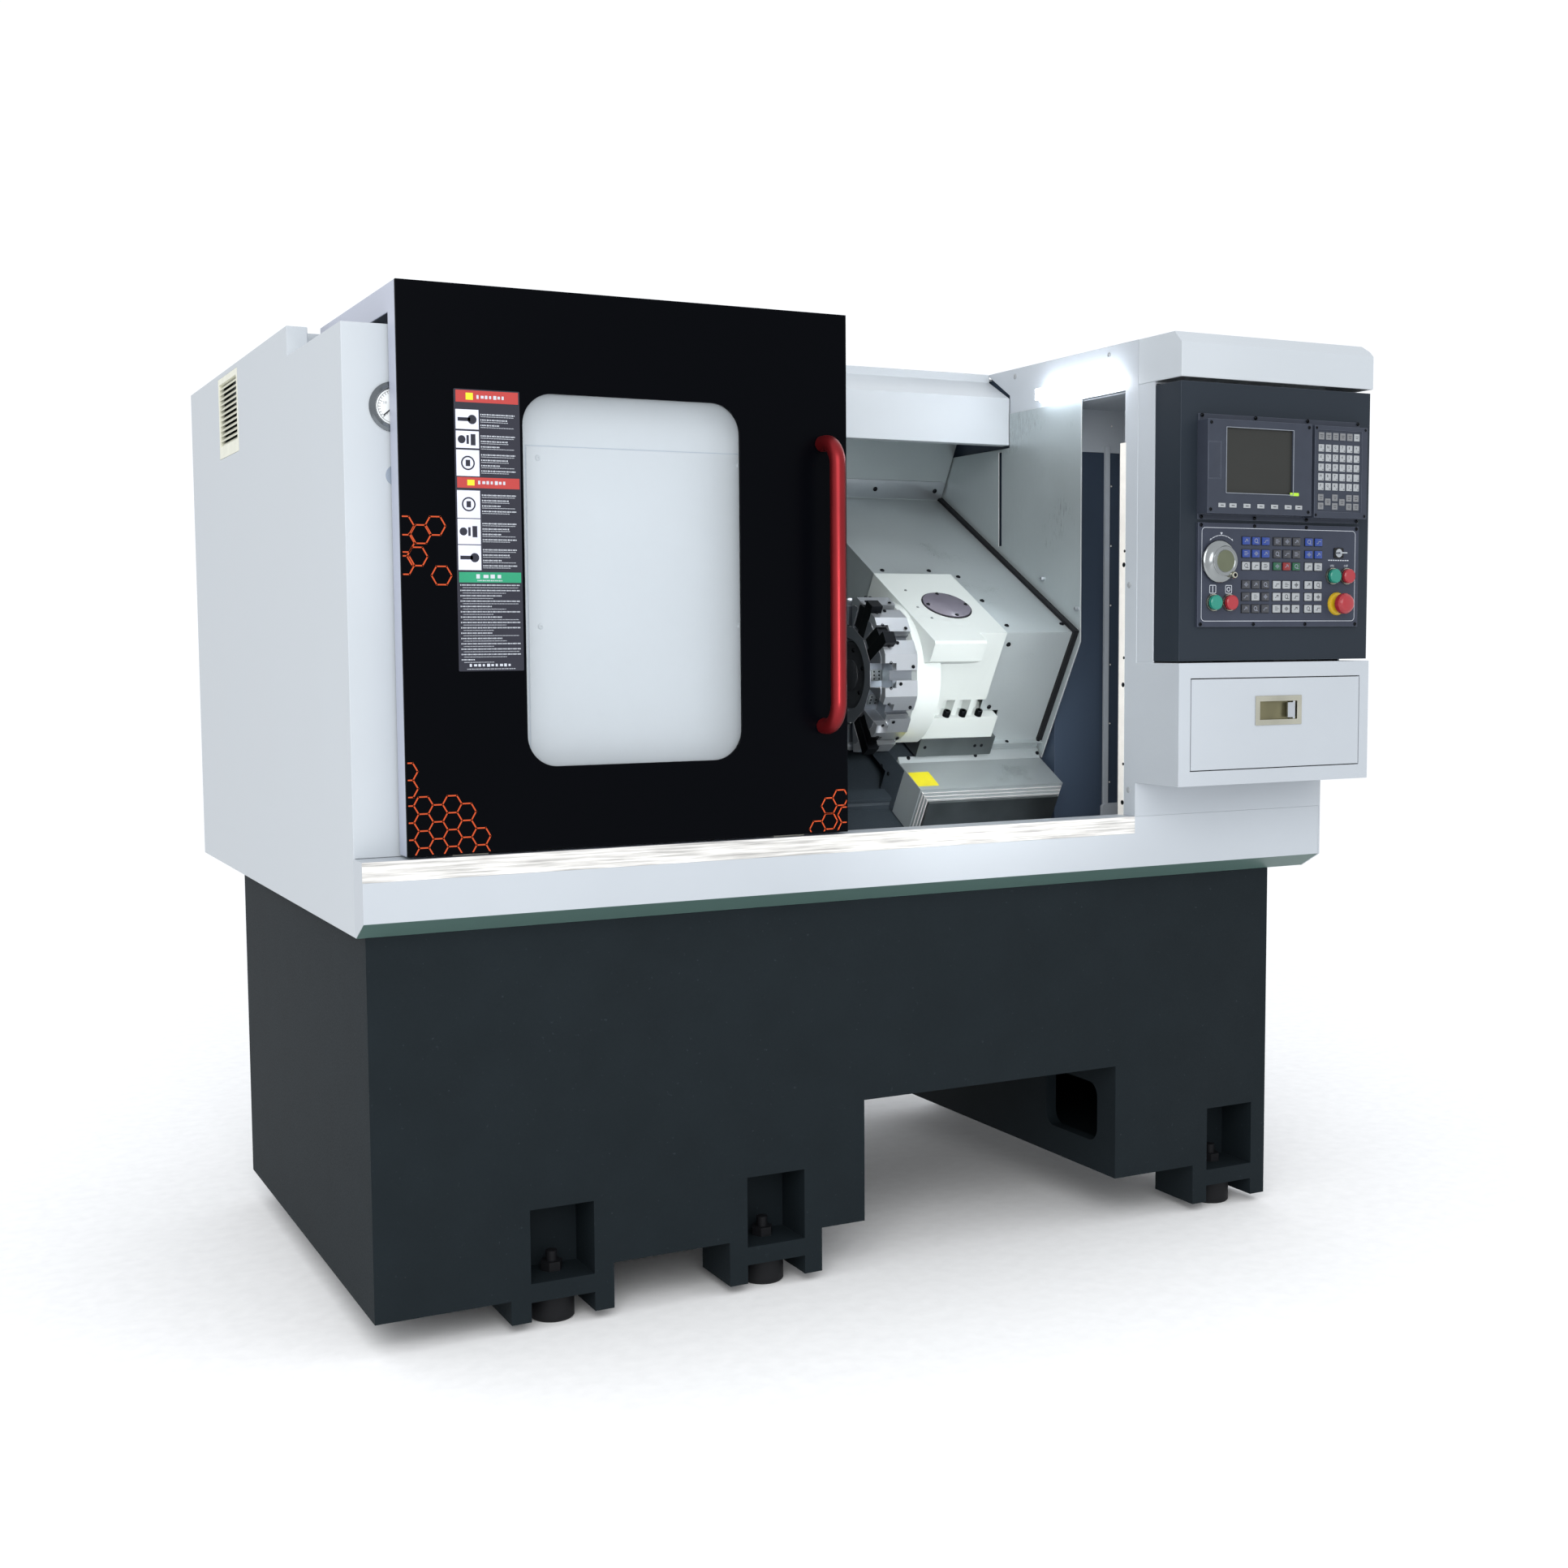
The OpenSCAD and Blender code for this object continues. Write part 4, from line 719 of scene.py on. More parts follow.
    def outline(
        self, face: Face, corners: Sequence[Point], width: float, thick: float = 0.3, rise: float = 0.0
    ) -> "Shaper":
        """Adds a flat frame that follows an outline on a face.

        Args:
            face: The face it lies on.
            corners: The outer corners, in millimetres.
            width: The frame's width in millimetres.
            thick: Its thickness in millimetres.
            rise: How far above the face its back lies.

        Returns:
            The shaper.
        """
        middle = self.bm.faces.new([self.bm.verts.new(face.at(x, y, rise)) for x, y in corners])
        middle.normal_update()
        band = bmesh.ops.inset_region(
            self.bm, faces=[middle], thickness=width * MM, depth=0.0, use_even_offset=True, use_boundary=True
        )["faces"]
        bmesh.ops.delete(self.bm, geom=[middle], context="FACES_ONLY")
        out = bmesh.ops.extrude_face_region(self.bm, geom=band)["geom"]
        verts = [g for g in out if isinstance(g, bmesh.types.BMVert)]
        bmesh.ops.translate(self.bm, verts=verts, vec=face.out * thick * MM)
        return self

    def stroke(
        self, face: Face, start: Point, end: Point, width: float, thick: float = 0.3, rise: float = 0.0
    ) -> "Shaper":
        """Adds a straight line on a face.

        Args:
            face: The face it lies on.
            start: Its first end, in millimetres.
            end: Its other end.
            width: Its width in millimetres.
            thick: Its thickness in millimetres.
            rise: How far above the face its back lies.

        Returns:
            The shaper.
        """
        (x0, y0), (x1, y1) = start, end
        long = math.hypot(x1 - x0, y1 - y0)
        ux, uy = (x1 - x0) / long * width / 2, (y1 - y0) / long * width / 2
        near = [(x0 - ux - uy, y0 - uy + ux), (x0 - ux + uy, y0 - uy - ux)]
        corners = [near[1], (x1 + ux + uy, y1 + uy - ux), (x1 + ux - uy, y1 + uy + ux), near[0]]
        return self.plate(face, corners, thick, rise)

    def cut(self, at: Vector, away: Vector) -> "Shaper":
        """Cuts off everything beyond a plane and closes the cut.

        Args:
            at: A point on the plane.
            away: The way of the side that is cut off.

        Returns:
            The shaper.
        """
        geom = self.bm.verts[:] + self.bm.edges[:] + self.bm.faces[:]
        made = bmesh.ops.bisect_plane(
            self.bm, geom=geom, plane_co=at, plane_no=away, dist=FINE_WELD, clear_outer=True
        )["geom_cut"]
        bmesh.ops.holes_fill(self.bm, edges=[g for g in made if isinstance(g, bmesh.types.BMEdge)], sides=8)
        return self

    def letters(
        self, face: Face, text: str, x: float, y: float, height: float, rise: float = 0.0
    ) -> "Shaper":
        """Adds printed letters or digits on a face.

        Args:
            face: The face they lie on.
            text: The letters.
            x: Their middle, to the right, in millimetres.
            y: Their middle, up, in millimetres.
            height: The size of the type in millimetres.
            rise: How far above the face they lie.

        Returns:
            The shaper.
        """
        curve = bpy.data.curves.new("type", "FONT")
        curve.body = text
        curve.size = height * MM
        curve.align_x, curve.align_y = "CENTER", "CENTER"
        curve.extrude = 0.05 * MM
        curve.resolution_u = 1
        holder = bpy.data.objects.new("type", curve)
        self.stamp(bpy.data.meshes.new_from_object(holder), [face.turn(x, y, rise)])
        bpy.data.objects.remove(holder)
        return self

    def piece(self, name: str, body: Body, finish: Finish) -> bpy.types.Object:
        """Finishes the mesh as a piece that rides on a body.

        Args:
            name: The piece's name.
            body: The body it rides on.
            finish: Its finish.

        Returns:
            The piece.
        """
        mesh = self.template(name)
        mesh.materials.append(finish.material())
        mesh.shade_smooth()
        mesh.set_sharp_from_angle(angle=SMOOTH_BELOW)
        made = bpy.data.objects.new(name, mesh)
        bpy.context.scene.collection.objects.link(made)
        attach(made, body.value)
        LOG.info("piece %s", name)
        return made

    def template(self, name: str = "template") -> bpy.types.Mesh:
        """Ends the making.

        Args:
            name: The mesh's name.

        Returns:
            The mesh, ready for copying or for a piece.
        """
        bmesh.ops.recalc_face_normals(self.bm, faces=self.bm.faces[:])
        mesh = bpy.data.meshes.new(name)
        self.bm.to_mesh(mesh)
        self.bm.free()
        return mesh


def islands(node: str) -> list[tuple[Vector, Vector]]:
    """Returns the box of every separate solid in a CAD node.

    Args:
        node: The node's name.

    Returns:
        The lowest and highest corner of each.
    """
    bm = bmesh.new()
    bm.from_mesh(frame["nodes"][node].data)
    bmesh.ops.remove_doubles(bm, verts=bm.verts[:], dist=WELD)
    left, boxes = set(bm.verts), []
    while left:
        group = joined(next(iter(left)))
        left -= group
        low = Vector([min(v.co[i] for v in group) for i in range(3)])
        high = Vector([max(v.co[i] for v in group) for i in range(3)])
        boxes.append((low, high))
    bm.free()
    return boxes


def soften(
    node: str, body: Body, finish: Finish, edge_mm: float = 1.2, segments: int = 2, edge_highlight: Finish | None = None
) -> bpy.types.Object:
    """Replaces a CAD node by a copy of itself with rounded edges.

    Args:
        node: The node's name.
        body: The body it belongs to.
        finish: Its finish.
        edge_mm: The width of the rounded edges in millimetres.
        segments: The number of steps across them.
        edge_highlight: The finish of the rounded edges, where it differs.

    Returns:
        The copy.
    """
    bm = bmesh.new()
    bm.from_mesh(frame["nodes"][node].data)
    bmesh.ops.remove_doubles(bm, verts=bm.verts[:], dist=WELD)
    bmesh.ops.dissolve_limit(
        bm, angle_limit=FLAT_WITHIN, verts=bm.verts[:], edges=bm.edges[:], use_dissolve_boundaries=False
    )
    mesh = bpy.data.meshes.new(node + "_skin")
    bm.to_mesh(mesh)
    bm.free()
    mesh.materials.append(finish.material())
    made = bpy.data.objects.new(node + "_skin", mesh)
    bpy.context.scene.collection.objects.link(made)
    bevel = made.modifiers.new("edges", "BEVEL")
    bevel.width = edge_mm * MM
    bevel.segments = segments
    bevel.limit_method = "ANGLE"
    bevel.angle_limit = EDGE_ABOVE
    bevel.harden_normals = True
    bevel.use_clamp_overlap = True
    # the rounded edges take a lighter finish that paints a highlight along them
    if edge_highlight:
        mesh.materials.append(edge_highlight.material())
        bevel.material = 1
    mesh.shade_smooth()
    mesh.set_sharp_from_angle(angle=EDGE_ABOVE)
    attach(made, body.value)
    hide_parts(node)
    LOG.info("piece %s", made.name)
    return made


def finish_nodes(finish: Finish, *nodes: str) -> None:
    """Gives CAD nodes a finish.

    Args:
        finish: The finish.
        nodes: The nodes' names.
    """
    for node in nodes:
        data = frame["nodes"][node].data
        data.materials.clear()
        data.materials.append(finish.material())


# ---------------------------------------------------------------- places
@dataclass(frozen=True)
class Slope:
    """The slanted frame of the bed: x along the spindle, v up the slope, w square to it."""

    origin: Vector
    up: Vector
    out: Vector

    def at(self, x: float, v: float, w: float) -> Vector:
        """Returns the point at x metres, and v and w millimetres."""
        return Vector((x, self.origin.y, self.origin.z)) + self.up * (v * MM) + self.out * (w * MM)

    def top(self, w: float) -> Face:
        """Returns the face that looks out of the slope: x along the spindle, v up."""
        return Face(self.at(0, 0, w), X, self.up)

    def front(self, v: float) -> Face:
        """Returns the face that looks down the slope: x along the spindle, w up."""
        return Face(self.at(0, v, 0), X, self.out)


def joint(name: str) -> dict:
    """Returns a joint of the record by name."""
    return next(j for j in frame["joints"] if j["name"] == name)


def slope() -> Slope:
    """Reads the slant from the cross feed's joint and the spindle's."""
    up = -Vector(joint("cross_slide_feed")["axis"])
    return Slope(Vector(joint("spindle_spin")["pos_m"]), up, X.cross(up))


def low(node: str) -> Vector:
    """Returns a node's lowest corner."""
    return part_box(node)[0]


def high(node: str) -> Vector:
    """Returns a node's highest corner."""
    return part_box(node)[1]


def middle(node: str) -> Vector:
    """Returns the middle of a node's box."""
    return (low(node) + high(node)) / 2


def front_of(node: str) -> Face:
    """Returns a node's front plane, with its origin at the node's lower left corner."""
    return Face(low(node), X, Z)


X, Z = Vector((1, 0, 0)), Vector((0, 0, 1))
FRONT, LEFT = Vector((0, -1, 0)), Vector((-1, 0, 0))
SLOPE = slope()


# ---------------------------------------------------------------- fasteners
@dataclass
class Screws:
    """Templates for the machine's screws, each seated at its origin with its head towards +Z."""

    dome_r: float = 6.0
    cap_r: float = 5.0
    made: dict[str, bpy.types.Mesh] = field(default_factory=dict)

    def dome(self) -> bpy.types.Mesh:
        """Returns a low domed cap screw with a round socket."""
        profile = [(0, 0.1), (1, 0), (1, 0.12), (0.9, 0.35), (0.6, 0.55), (0.36, 0.62), (0.34, 0.2), (0, 0.2)]
        return self.kept("dome", profile, self.dome_r, 16)

    def cap(self) -> bpy.types.Mesh:
        """Returns a cylindrical socket-head screw."""
        profile = [(0, 0), (1, 0), (1, 1.6), (0.92, 1.75), (0.55, 1.75), (0.5, 0.9), (0, 0.9)]
        return self.kept("cap", profile, self.cap_r, 18)

    def kept(self, name: str, profile: Sequence[Point], radius: float, steps: int) -> bpy.types.Mesh:
        """Returns a template, making it the first time.

        Args:
            name: The template's name.
            profile: Its radius and height pairs, as parts of the head's radius.
            radius: The head's radius in millimetres.
            steps: The number of steps round it.

        Returns:
            The template.
        """
        if name not in self.made:
            real = [(r * radius * MM, h * radius * MM) for r, h in profile]
            self.made[name] = Shaper().turned(real, Vector(), Z, steps).template()
        return self.made[name]

    def put(
        self,
        name: str,
        body: Body,
        finish: Finish,
        kind: bpy.types.Mesh,
        places: Iterable[Matrix],
        size: float = 1.0,
    ) -> bpy.types.Object:
        """Seats copies of a screw as one piece.

        Args:
            name: The piece's name.
            body: The body it rides on.
            finish: Its finish.
            kind: The screw's template.
            places: Where each one sits.
            size: The factor on its size.

        Returns:
            The piece.
        """
        scaled = [place @ Matrix.Scale(size, 4) for place in places]
        return Shaper().stamp(kind, scaled).piece(name, body, finish)


SCREWS = Screws()


# ---------------------------------------------------------------- sub-assemblies
@dataclass
class Casing:
    """The white sheet-metal casing with its sill, vent, gauge, screws and buffer; sizes in millimetres."""

    edge: float = 1.6
    sheet: float = 4.0
    dial_r: float = 30.0
    dial_depth: float = 1.9
    scale_r: float = 25.0
    figure_r: float = 15.5
    tick_count: int = 25
    ticks_a_figure: int = 6
    value_a_figure: int = 10
    buffer: Point = (-912.6, 1450.0)
    buffer_r: float = 16.5
    service_box: tuple[float, float, float, float] = (230.0, 70.0, 640.0, 668.8)
    rear_margin: float = 30.0

    def build(self) -> None:
        """Dresses the casing and adds its small pieces."""
        for node in ("left_cover", "rear_casing", "header_beam", "column_hood"):
            soften(node, Body.MACHINE, Finishes.WHITE, self.edge)
        soften("column_shell", Body.MACHINE, Finishes.COLUMN, self.edge)
        soften("apron_panel", Body.MACHINE, Finishes.APRON, self.edge)
        finish_nodes(Finishes.SILL, "sill_strip")
        finish_nodes(Finishes.CREAM, "left_vent")
        # the gauge's rim is darkened to paint its shade and reflections
        finish_nodes(Finishes.RIM, "gauge_case")
        finish_nodes(Finishes.INK_DARK, "gauge_needle")
        self.dial()
        self.column_screws()
        self.service_panel()
        self.door_buffer()
        self.rear_screws()

    def dial(self) -> None:
        """Adds the gauge's face with its scale and figures."""
        centre = middle("gauge_case")
        face = Vector((centre.x, low("gauge_needle").y + self.dial_depth * MM, centre.z))
        Shaper().rod(face, face + FRONT * 0.06 * MM, (self.dial_r - 1.5) * MM, 48).piece(
            "gauge_dial", Body.MACHINE, Finishes.DIAL
        )
        board = Face(face, X, Z)
        ticks, figures = Shaper(), Shaper()
        for i in range(self.tick_count):
            angle = math.radians(225 - 270 * i / (self.tick_count - 1))
            x, z = math.cos(angle), math.sin(angle)
            main_tick = i % self.ticks_a_figure == 0
            inner, outer = self.scale_r - (5.0 if main_tick else 3.0), self.scale_r
            ticks.stroke(board, (x * inner, z * inner), (x * outer, z * outer), 0.8, 0.05, 0.06)
            if main_tick:
                value = i // self.ticks_a_figure * self.value_a_figure
                figures.letters(board, str(value), x * self.figure_r, z * self.figure_r, 6.5, 0.07)
        ticks.outline(board, ring_outline(0, 0, self.scale_r + 1), 0.6, 0.05, 0.06)
        ticks.piece("gauge_ticks", Body.MACHINE, Finishes.INK_DARK)
        figures.piece("gauge_figures", Body.MACHINE, Finishes.INK_DARK)

    def rear_screws(self) -> None:
        """Adds the flat screws of the rear frame, round its two doors."""
        a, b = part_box("rear_casing")
        plane, margin = b.y - self.sheet * MM, self.rear_margin * MM
        flat = Matrix.Scale(0.25, 4, Z)
        wide, tall = b.x - a.x, b.z - a.z
        spots = [(x, a.z + tall * part) for x in (a.x + margin, b.x - margin) for part in (0.1, 0.5, 0.9)]
        spots += [(a.x + wide * part, b.z - margin) for part in (0.2, 0.4, 0.6, 0.8)]
        places = [facing(Vector((x, plane, z)), -FRONT) @ flat for x, z in spots]
        SCREWS.put("rear_screws", Body.MACHINE, Finishes.BRIGHT, SCREWS.dome(), places, 0.9)

    def door_buffer(self) -> None:
        """Adds the round flat buffer behind the door's edge, below the gauge."""
        x, z = self.buffer
        at = Vector((x * MM, low("left_cover").y, z * MM))
        wide, thick, rounding = self.buffer_r * MM, 1.8 * MM, 0.5 * MM
        profile = [(0, 0), (wide, 0), (wide, 1.2 * MM), (wide - rounding, thick), (0, thick)]
        Shaper().turned(profile, at, FRONT, 48).piece("door_buffer", Body.MACHINE, Finishes.BUFFER)

    def column_screws(self) -> None:
        """Adds the domed screws on the column's side, towards the door."""
        corner, top = low("column_shell"), high("column_shell").z
        spots = [(553, 16), (224, 18), (155, 468), (153, 868)]
        # flat heads, because the door's edge passes two millimetres away
        flat = Matrix.Scale(0.35, 4, Z)
        seats = [Vector((corner.x, corner.y + back * MM, top - down * MM)) for back, down in spots]
        places = [facing(at, LEFT) @ flat for at in seats]
        SCREWS.put("column_screws", Body.MACHINE, Finishes.LIGHT_KEY, SCREWS.dome(), places)

    def service_panel(self) -> None:
        """Adds the thin screwed panel on the left cover's front, behind the door's window."""
        front = Face(Vector((low("door_panel").x, low("left_cover").y, low("door_panel").z)), X, Z)
        x0, z0, x1, z1 = self.service_box
        Shaper().plate(front, round_outline(x0, z0, x1, z1, 4.0), 0.9, 0.0, 0.3).piece(
            "service_panel", Body.MACHINE, Finishes.WHITE
        )
        # a grey-blue line paints the shadow in the gap above and beside the panel
        above, beside = z1 + 1.4, x0 - 1.2
        gap = Shaper().stroke(front, (x0, above), (x1, above), 1.6, 0.1)
        gap.stroke(front, (beside, z0), (beside, above), 1.6, 0.1)
        gap.piece("service_panel_gap_shadow", Body.MACHINE, Finishes.INK_SEAM)
        heads = [front.turn(x, z, 0.9) for x in (x0 + 20, x1 - 20) for z in (z0 + 20, z0 + 300, z0 + 580)]
        SCREWS.put("service_panel_screws", Body.MACHINE, Finishes.WHITE, SCREWS.dome(), heads, 0.8)


@dataclass
class Base:
    """The cast base on its levelling pads; sizes in millimetres."""

    leg: float = 385.0
    wall: float = 25.0
    foot: float = 122.0
    tray_z: float = 127.0
    tray_thick: float = 2.0

    def build(self) -> None:
        """Dresses the base."""
        soften("base_casting", Body.MACHINE, Finishes.BASE, 2.5)
        finish_nodes(Finishes.RUBBER, "levelling_pads")
        self.tray()

    def tray(self) -> None:
        """Adds the sheet that closes the hollow leg below its round-cornered window."""
        corner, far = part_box("base_casting")
        inner = (self.foot + self.wall) * MM
        Shaper().block(
            Vector((far.x - (self.leg - self.wall) * MM, corner.y + inner, self.tray_z * MM)),
            Vector((far.x - self.wall * MM, far.y - inner, (self.tray_z + self.tray_thick) * MM)),
            0.4 * MM,
        ).piece("leg_tray", Body.MACHINE, Finishes.BASE)


@dataclass
class Door:
    """The sliding door: black front, folded shell, pane, handle, decals and label plate.

    Places on the door are millimetres from its lower left corner.
    """

    wide: float = 806.0
    trim: float = 3.0
    cell: float = 15.9
    upper_cell: float = 16.8
    pitch_x: float = 23.85
    pitch_z: float = 27.56
    line: float = 2.2
    plate: Point = (110.0, 451.6)
    plate_thick: float = 0.4
    on_plate: float = 0.45
    film: float = 0.12
    on_film: float = 0.52
    print_on_film: float = 0.55

    def build(self) -> None:
        """Dresses the door and adds its decals."""
        soften("door_panel", Body.DOOR, Finishes.DOOR, 1.0)
        soften("door_shell", Body.DOOR, Finishes.SHELL, 1.2)
        finish_nodes(Finishes.GLASS, "door_window")
        soften("door_handle", Body.DOOR, Finishes.ANODISED, 3.0, 4)
        finish_nodes(Finishes.NYLON, "door_pads")
        face = front_of("door_panel")
        self.honeycomb("decal_lower_left", face, self.lattice(), self.cell)
        upper = [
            (5.5, 529.8), (33, 516.7), (56.8, 530.4), (5.5, 502.6), (26.5, 481.3), (4.8, 467.4), (65.7, 451.5)
        ]
        self.honeycomb("decal_upper_left", face, upper, self.upper_cell)
        right = [(790.7, 62.1), (768, 48.6), (768.4, 20.6), (744.1, 8.2), (801, 30.9), (800.8, 3.4)]
        self.honeycomb("decal_lower_right", face, right, self.cell)
        self.label(Face(face.at(91.0, 297.6), X, Z))

    def lattice(self) -> list[Point]:
        """Returns the cells of the large honeycomb at the door's lower left."""
        rows = {-1: (0, 1, 2), 0: (0, 1, 2, 3), 1: (0, 1, 2), 2: (0, 1, 2, 3), 3: (0, 1, 2), 4: (0, 1)}
        cells = [
            (27.5 + self.pitch_x * column, 0.4 + self.pitch_z * (row + (0.5 if column % 2 else 0.0)))
            for column, these in rows.items()
            for row in these
        ]
        return cells + [(3.6, 0.4 + self.pitch_z * row) for row in (4, 5)]

    def honeycomb(self, name: str, face: Face, cells: Sequence[Point], size: float) -> None:
        """Adds hexagon outlines that share their common sides, cut off at the door's edges.

        Args:
            name: The piece's name.
            face: The door's front.
            cells: The middles of the hexagons.
            size: The distance from a middle to a corner.
        """
        sides: dict[tuple[int, int], tuple] = {}
        for x, z in cells:
            corners = ring_outline(x, z, size, 6)
            for a, b in zip(corners, corners[1:] + corners[:1]):
                sides.setdefault((round((a[0] + b[0]) / 6), round((a[1] + b[1]) / 6)), (a, b))
        shape = Shaper()
        for a, b in sides.values():
            shape.stroke(face, a, b, self.line, 0.25)
        shape.cut(face.at(self.trim, 0), -face.right).cut(face.at(self.wide - self.trim, 0), face.right)
        shape.cut(face.at(0, self.trim), -face.up)
        shape.piece(name, Body.DOOR, Finishes.INK_ORANGE)

    def label(self, face: Face) -> None:
        """Adds the instruction plate as plain colour fields, neutral shapes and lines of dashes.

        Args:
            face: The plate's face, from its lower left corner.
        """
        Shaper().plate(face, round_outline(0, 0, *self.plate, 2.0), self.plate_thick).piece(
            "label_plate", Body.DOOR, Finishes.FILM_NAVY
        )
        red, green, pale, marks, yellow = (Shaper() for _ in range(5))
        for z0, z1 in ((430.8, 449.8), (294.6, 311.6)):
            red.tile(face, 3.3, z0, 107.7, z1, self.film, self.plate_thick)
            yellow.tile(face, 20, z0 + 4, 32, z1 - 4, 0.1, self.on_film)
            self.dashes(marks, face, 38, z0 + 9, 88, 6.0, 5.0, self.print_on_film)
        green.tile(face, 3.3, 143.2, 107.7, 159.8, self.film, self.plate_thick)
        self.dashes(marks, face, 32, 153, 80, 7.0, 8.5, self.print_on_film)
        self.dashes(marks, face, 34, 146.3, 78, 2.0, 1.6, self.print_on_film)
        squares = [(313.4, 355), (358, 385), (388, 419.2), (246.4, 290.5), (204.5, 245), (163.1, 203)]
        for i, (z0, z1) in enumerate(squares):
            pale.tile(face, 2.6, z0, 40.8, z1, self.film, self.plate_thick)
            self.neutral_shape(i, face, (z0 + z1) / 2)
            for k in range(4):
                z = z1 - 7 - k * 8.6
                if z > z0 + 2:
                    self.dashes(marks, face, 44, z, 104 - 14 * (k % 3), 2.4, 1.9, self.on_plate)
                    self.dashes(marks, face, 44, z - 3.4, 100 - 9 * (k % 2), 1.2, 1.0, self.on_plate)
        z, row = 139.0, 0
        while z > 16:
            end = 106 - 31 * (row % 4 == 2) - 46 * (row % 5 == 4)
            self.dashes(marks, face, 5, z, end, 2.2, 2.0, self.on_plate)
            self.dashes(marks, face, 9, z - 4.2, 104 - 22 * (row % 3), 1.1, 1.1, self.on_plate)
            z -= 8.6
            row += 1
        self.dashes(marks, face, 18, 9.5, 92, 4.6, 5.2, self.on_plate)
        self.dashes(marks, face, 14, 3.4, 96, 1.3, 1.5, self.on_plate)
        red.piece("label_red_fields", Body.DOOR, Finishes.FILM_RED)
        green.piece("label_green_field", Body.DOOR, Finishes.FILM_GREEN)
        pale.piece("label_pale_fields", Body.DOOR, Finishes.FILM_PALE)
        yellow.piece("label_yellow_fields", Body.DOOR, Finishes.FIELD)
        marks.piece("label_print", Body.DOOR, Finishes.INK_LIGHT)

    def dashes(
        self, shape: Shaper, face: Face, x: float, z: float, end: float, tall: float, wide: float, rise: float
    ) -> None:
        """Adds a line of short dashes that stands for a line of small type.

        Args:
            shape: The mesh it goes into.
            face: The face it lies on.
            x: Where the line starts.
            z: Its middle, up.
            end: Where it ends.
            tall: The height of a dash.
            wide: The width of a dash.
            rise: How far above the face it lies.
        """
        step, turn = wide * 1.4, 0
        while x + wide <= end:
            part = wide * (0.7, 1.0, 0.85)[turn % 3]
            half = tall * (1.0, 0.75, 0.9, 0.8)[turn % 4] / 2
            shape.tile(face, x, z - half, x + part, z + half, 0.08, rise)
            x += step
            turn += 1

    def neutral_shape(self, kind: int, face: Face, z: float) -> None:
        """Adds a neutral shape in the middle of a pale square.

        Args:
            kind: The square's number, which picks a ringed block, a disc with two bars or a bar with a disc.
            face: The plate's face.
            z: The square's middle, up.
        """
        shape = Shaper()
        if kind % 3 == 0:
            shape.outline(face, ring_outline(21.7, z, 11.5, 28), 2.4, 0.1, self.on_film)
            shape.tile(face, 18, z - 5, 25.4, z + 5, 0.1, self.on_film)
        elif kind % 3 == 1:
            shape.plate(face, ring_outline(12, z, 6.5, 20), 0.1, self.on_film)
            shape.tile(face, 20, z - 7, 24, z + 7, 0.1, self.on_film)
            shape.tile(face, 27, z - 9, 35, z + 9, 0.1, self.on_film)
        else:
            shape.tile(face, 6, z - 3, 27, z + 3, 0.1, self.on_film)
            shape.plate(face, ring_outline(30, z, 7.5, 20), 0.1, self.on_film)
        shape.piece(f"label_shape_{kind + 1}", Body.DOOR, Finishes.FILM_NAVY)


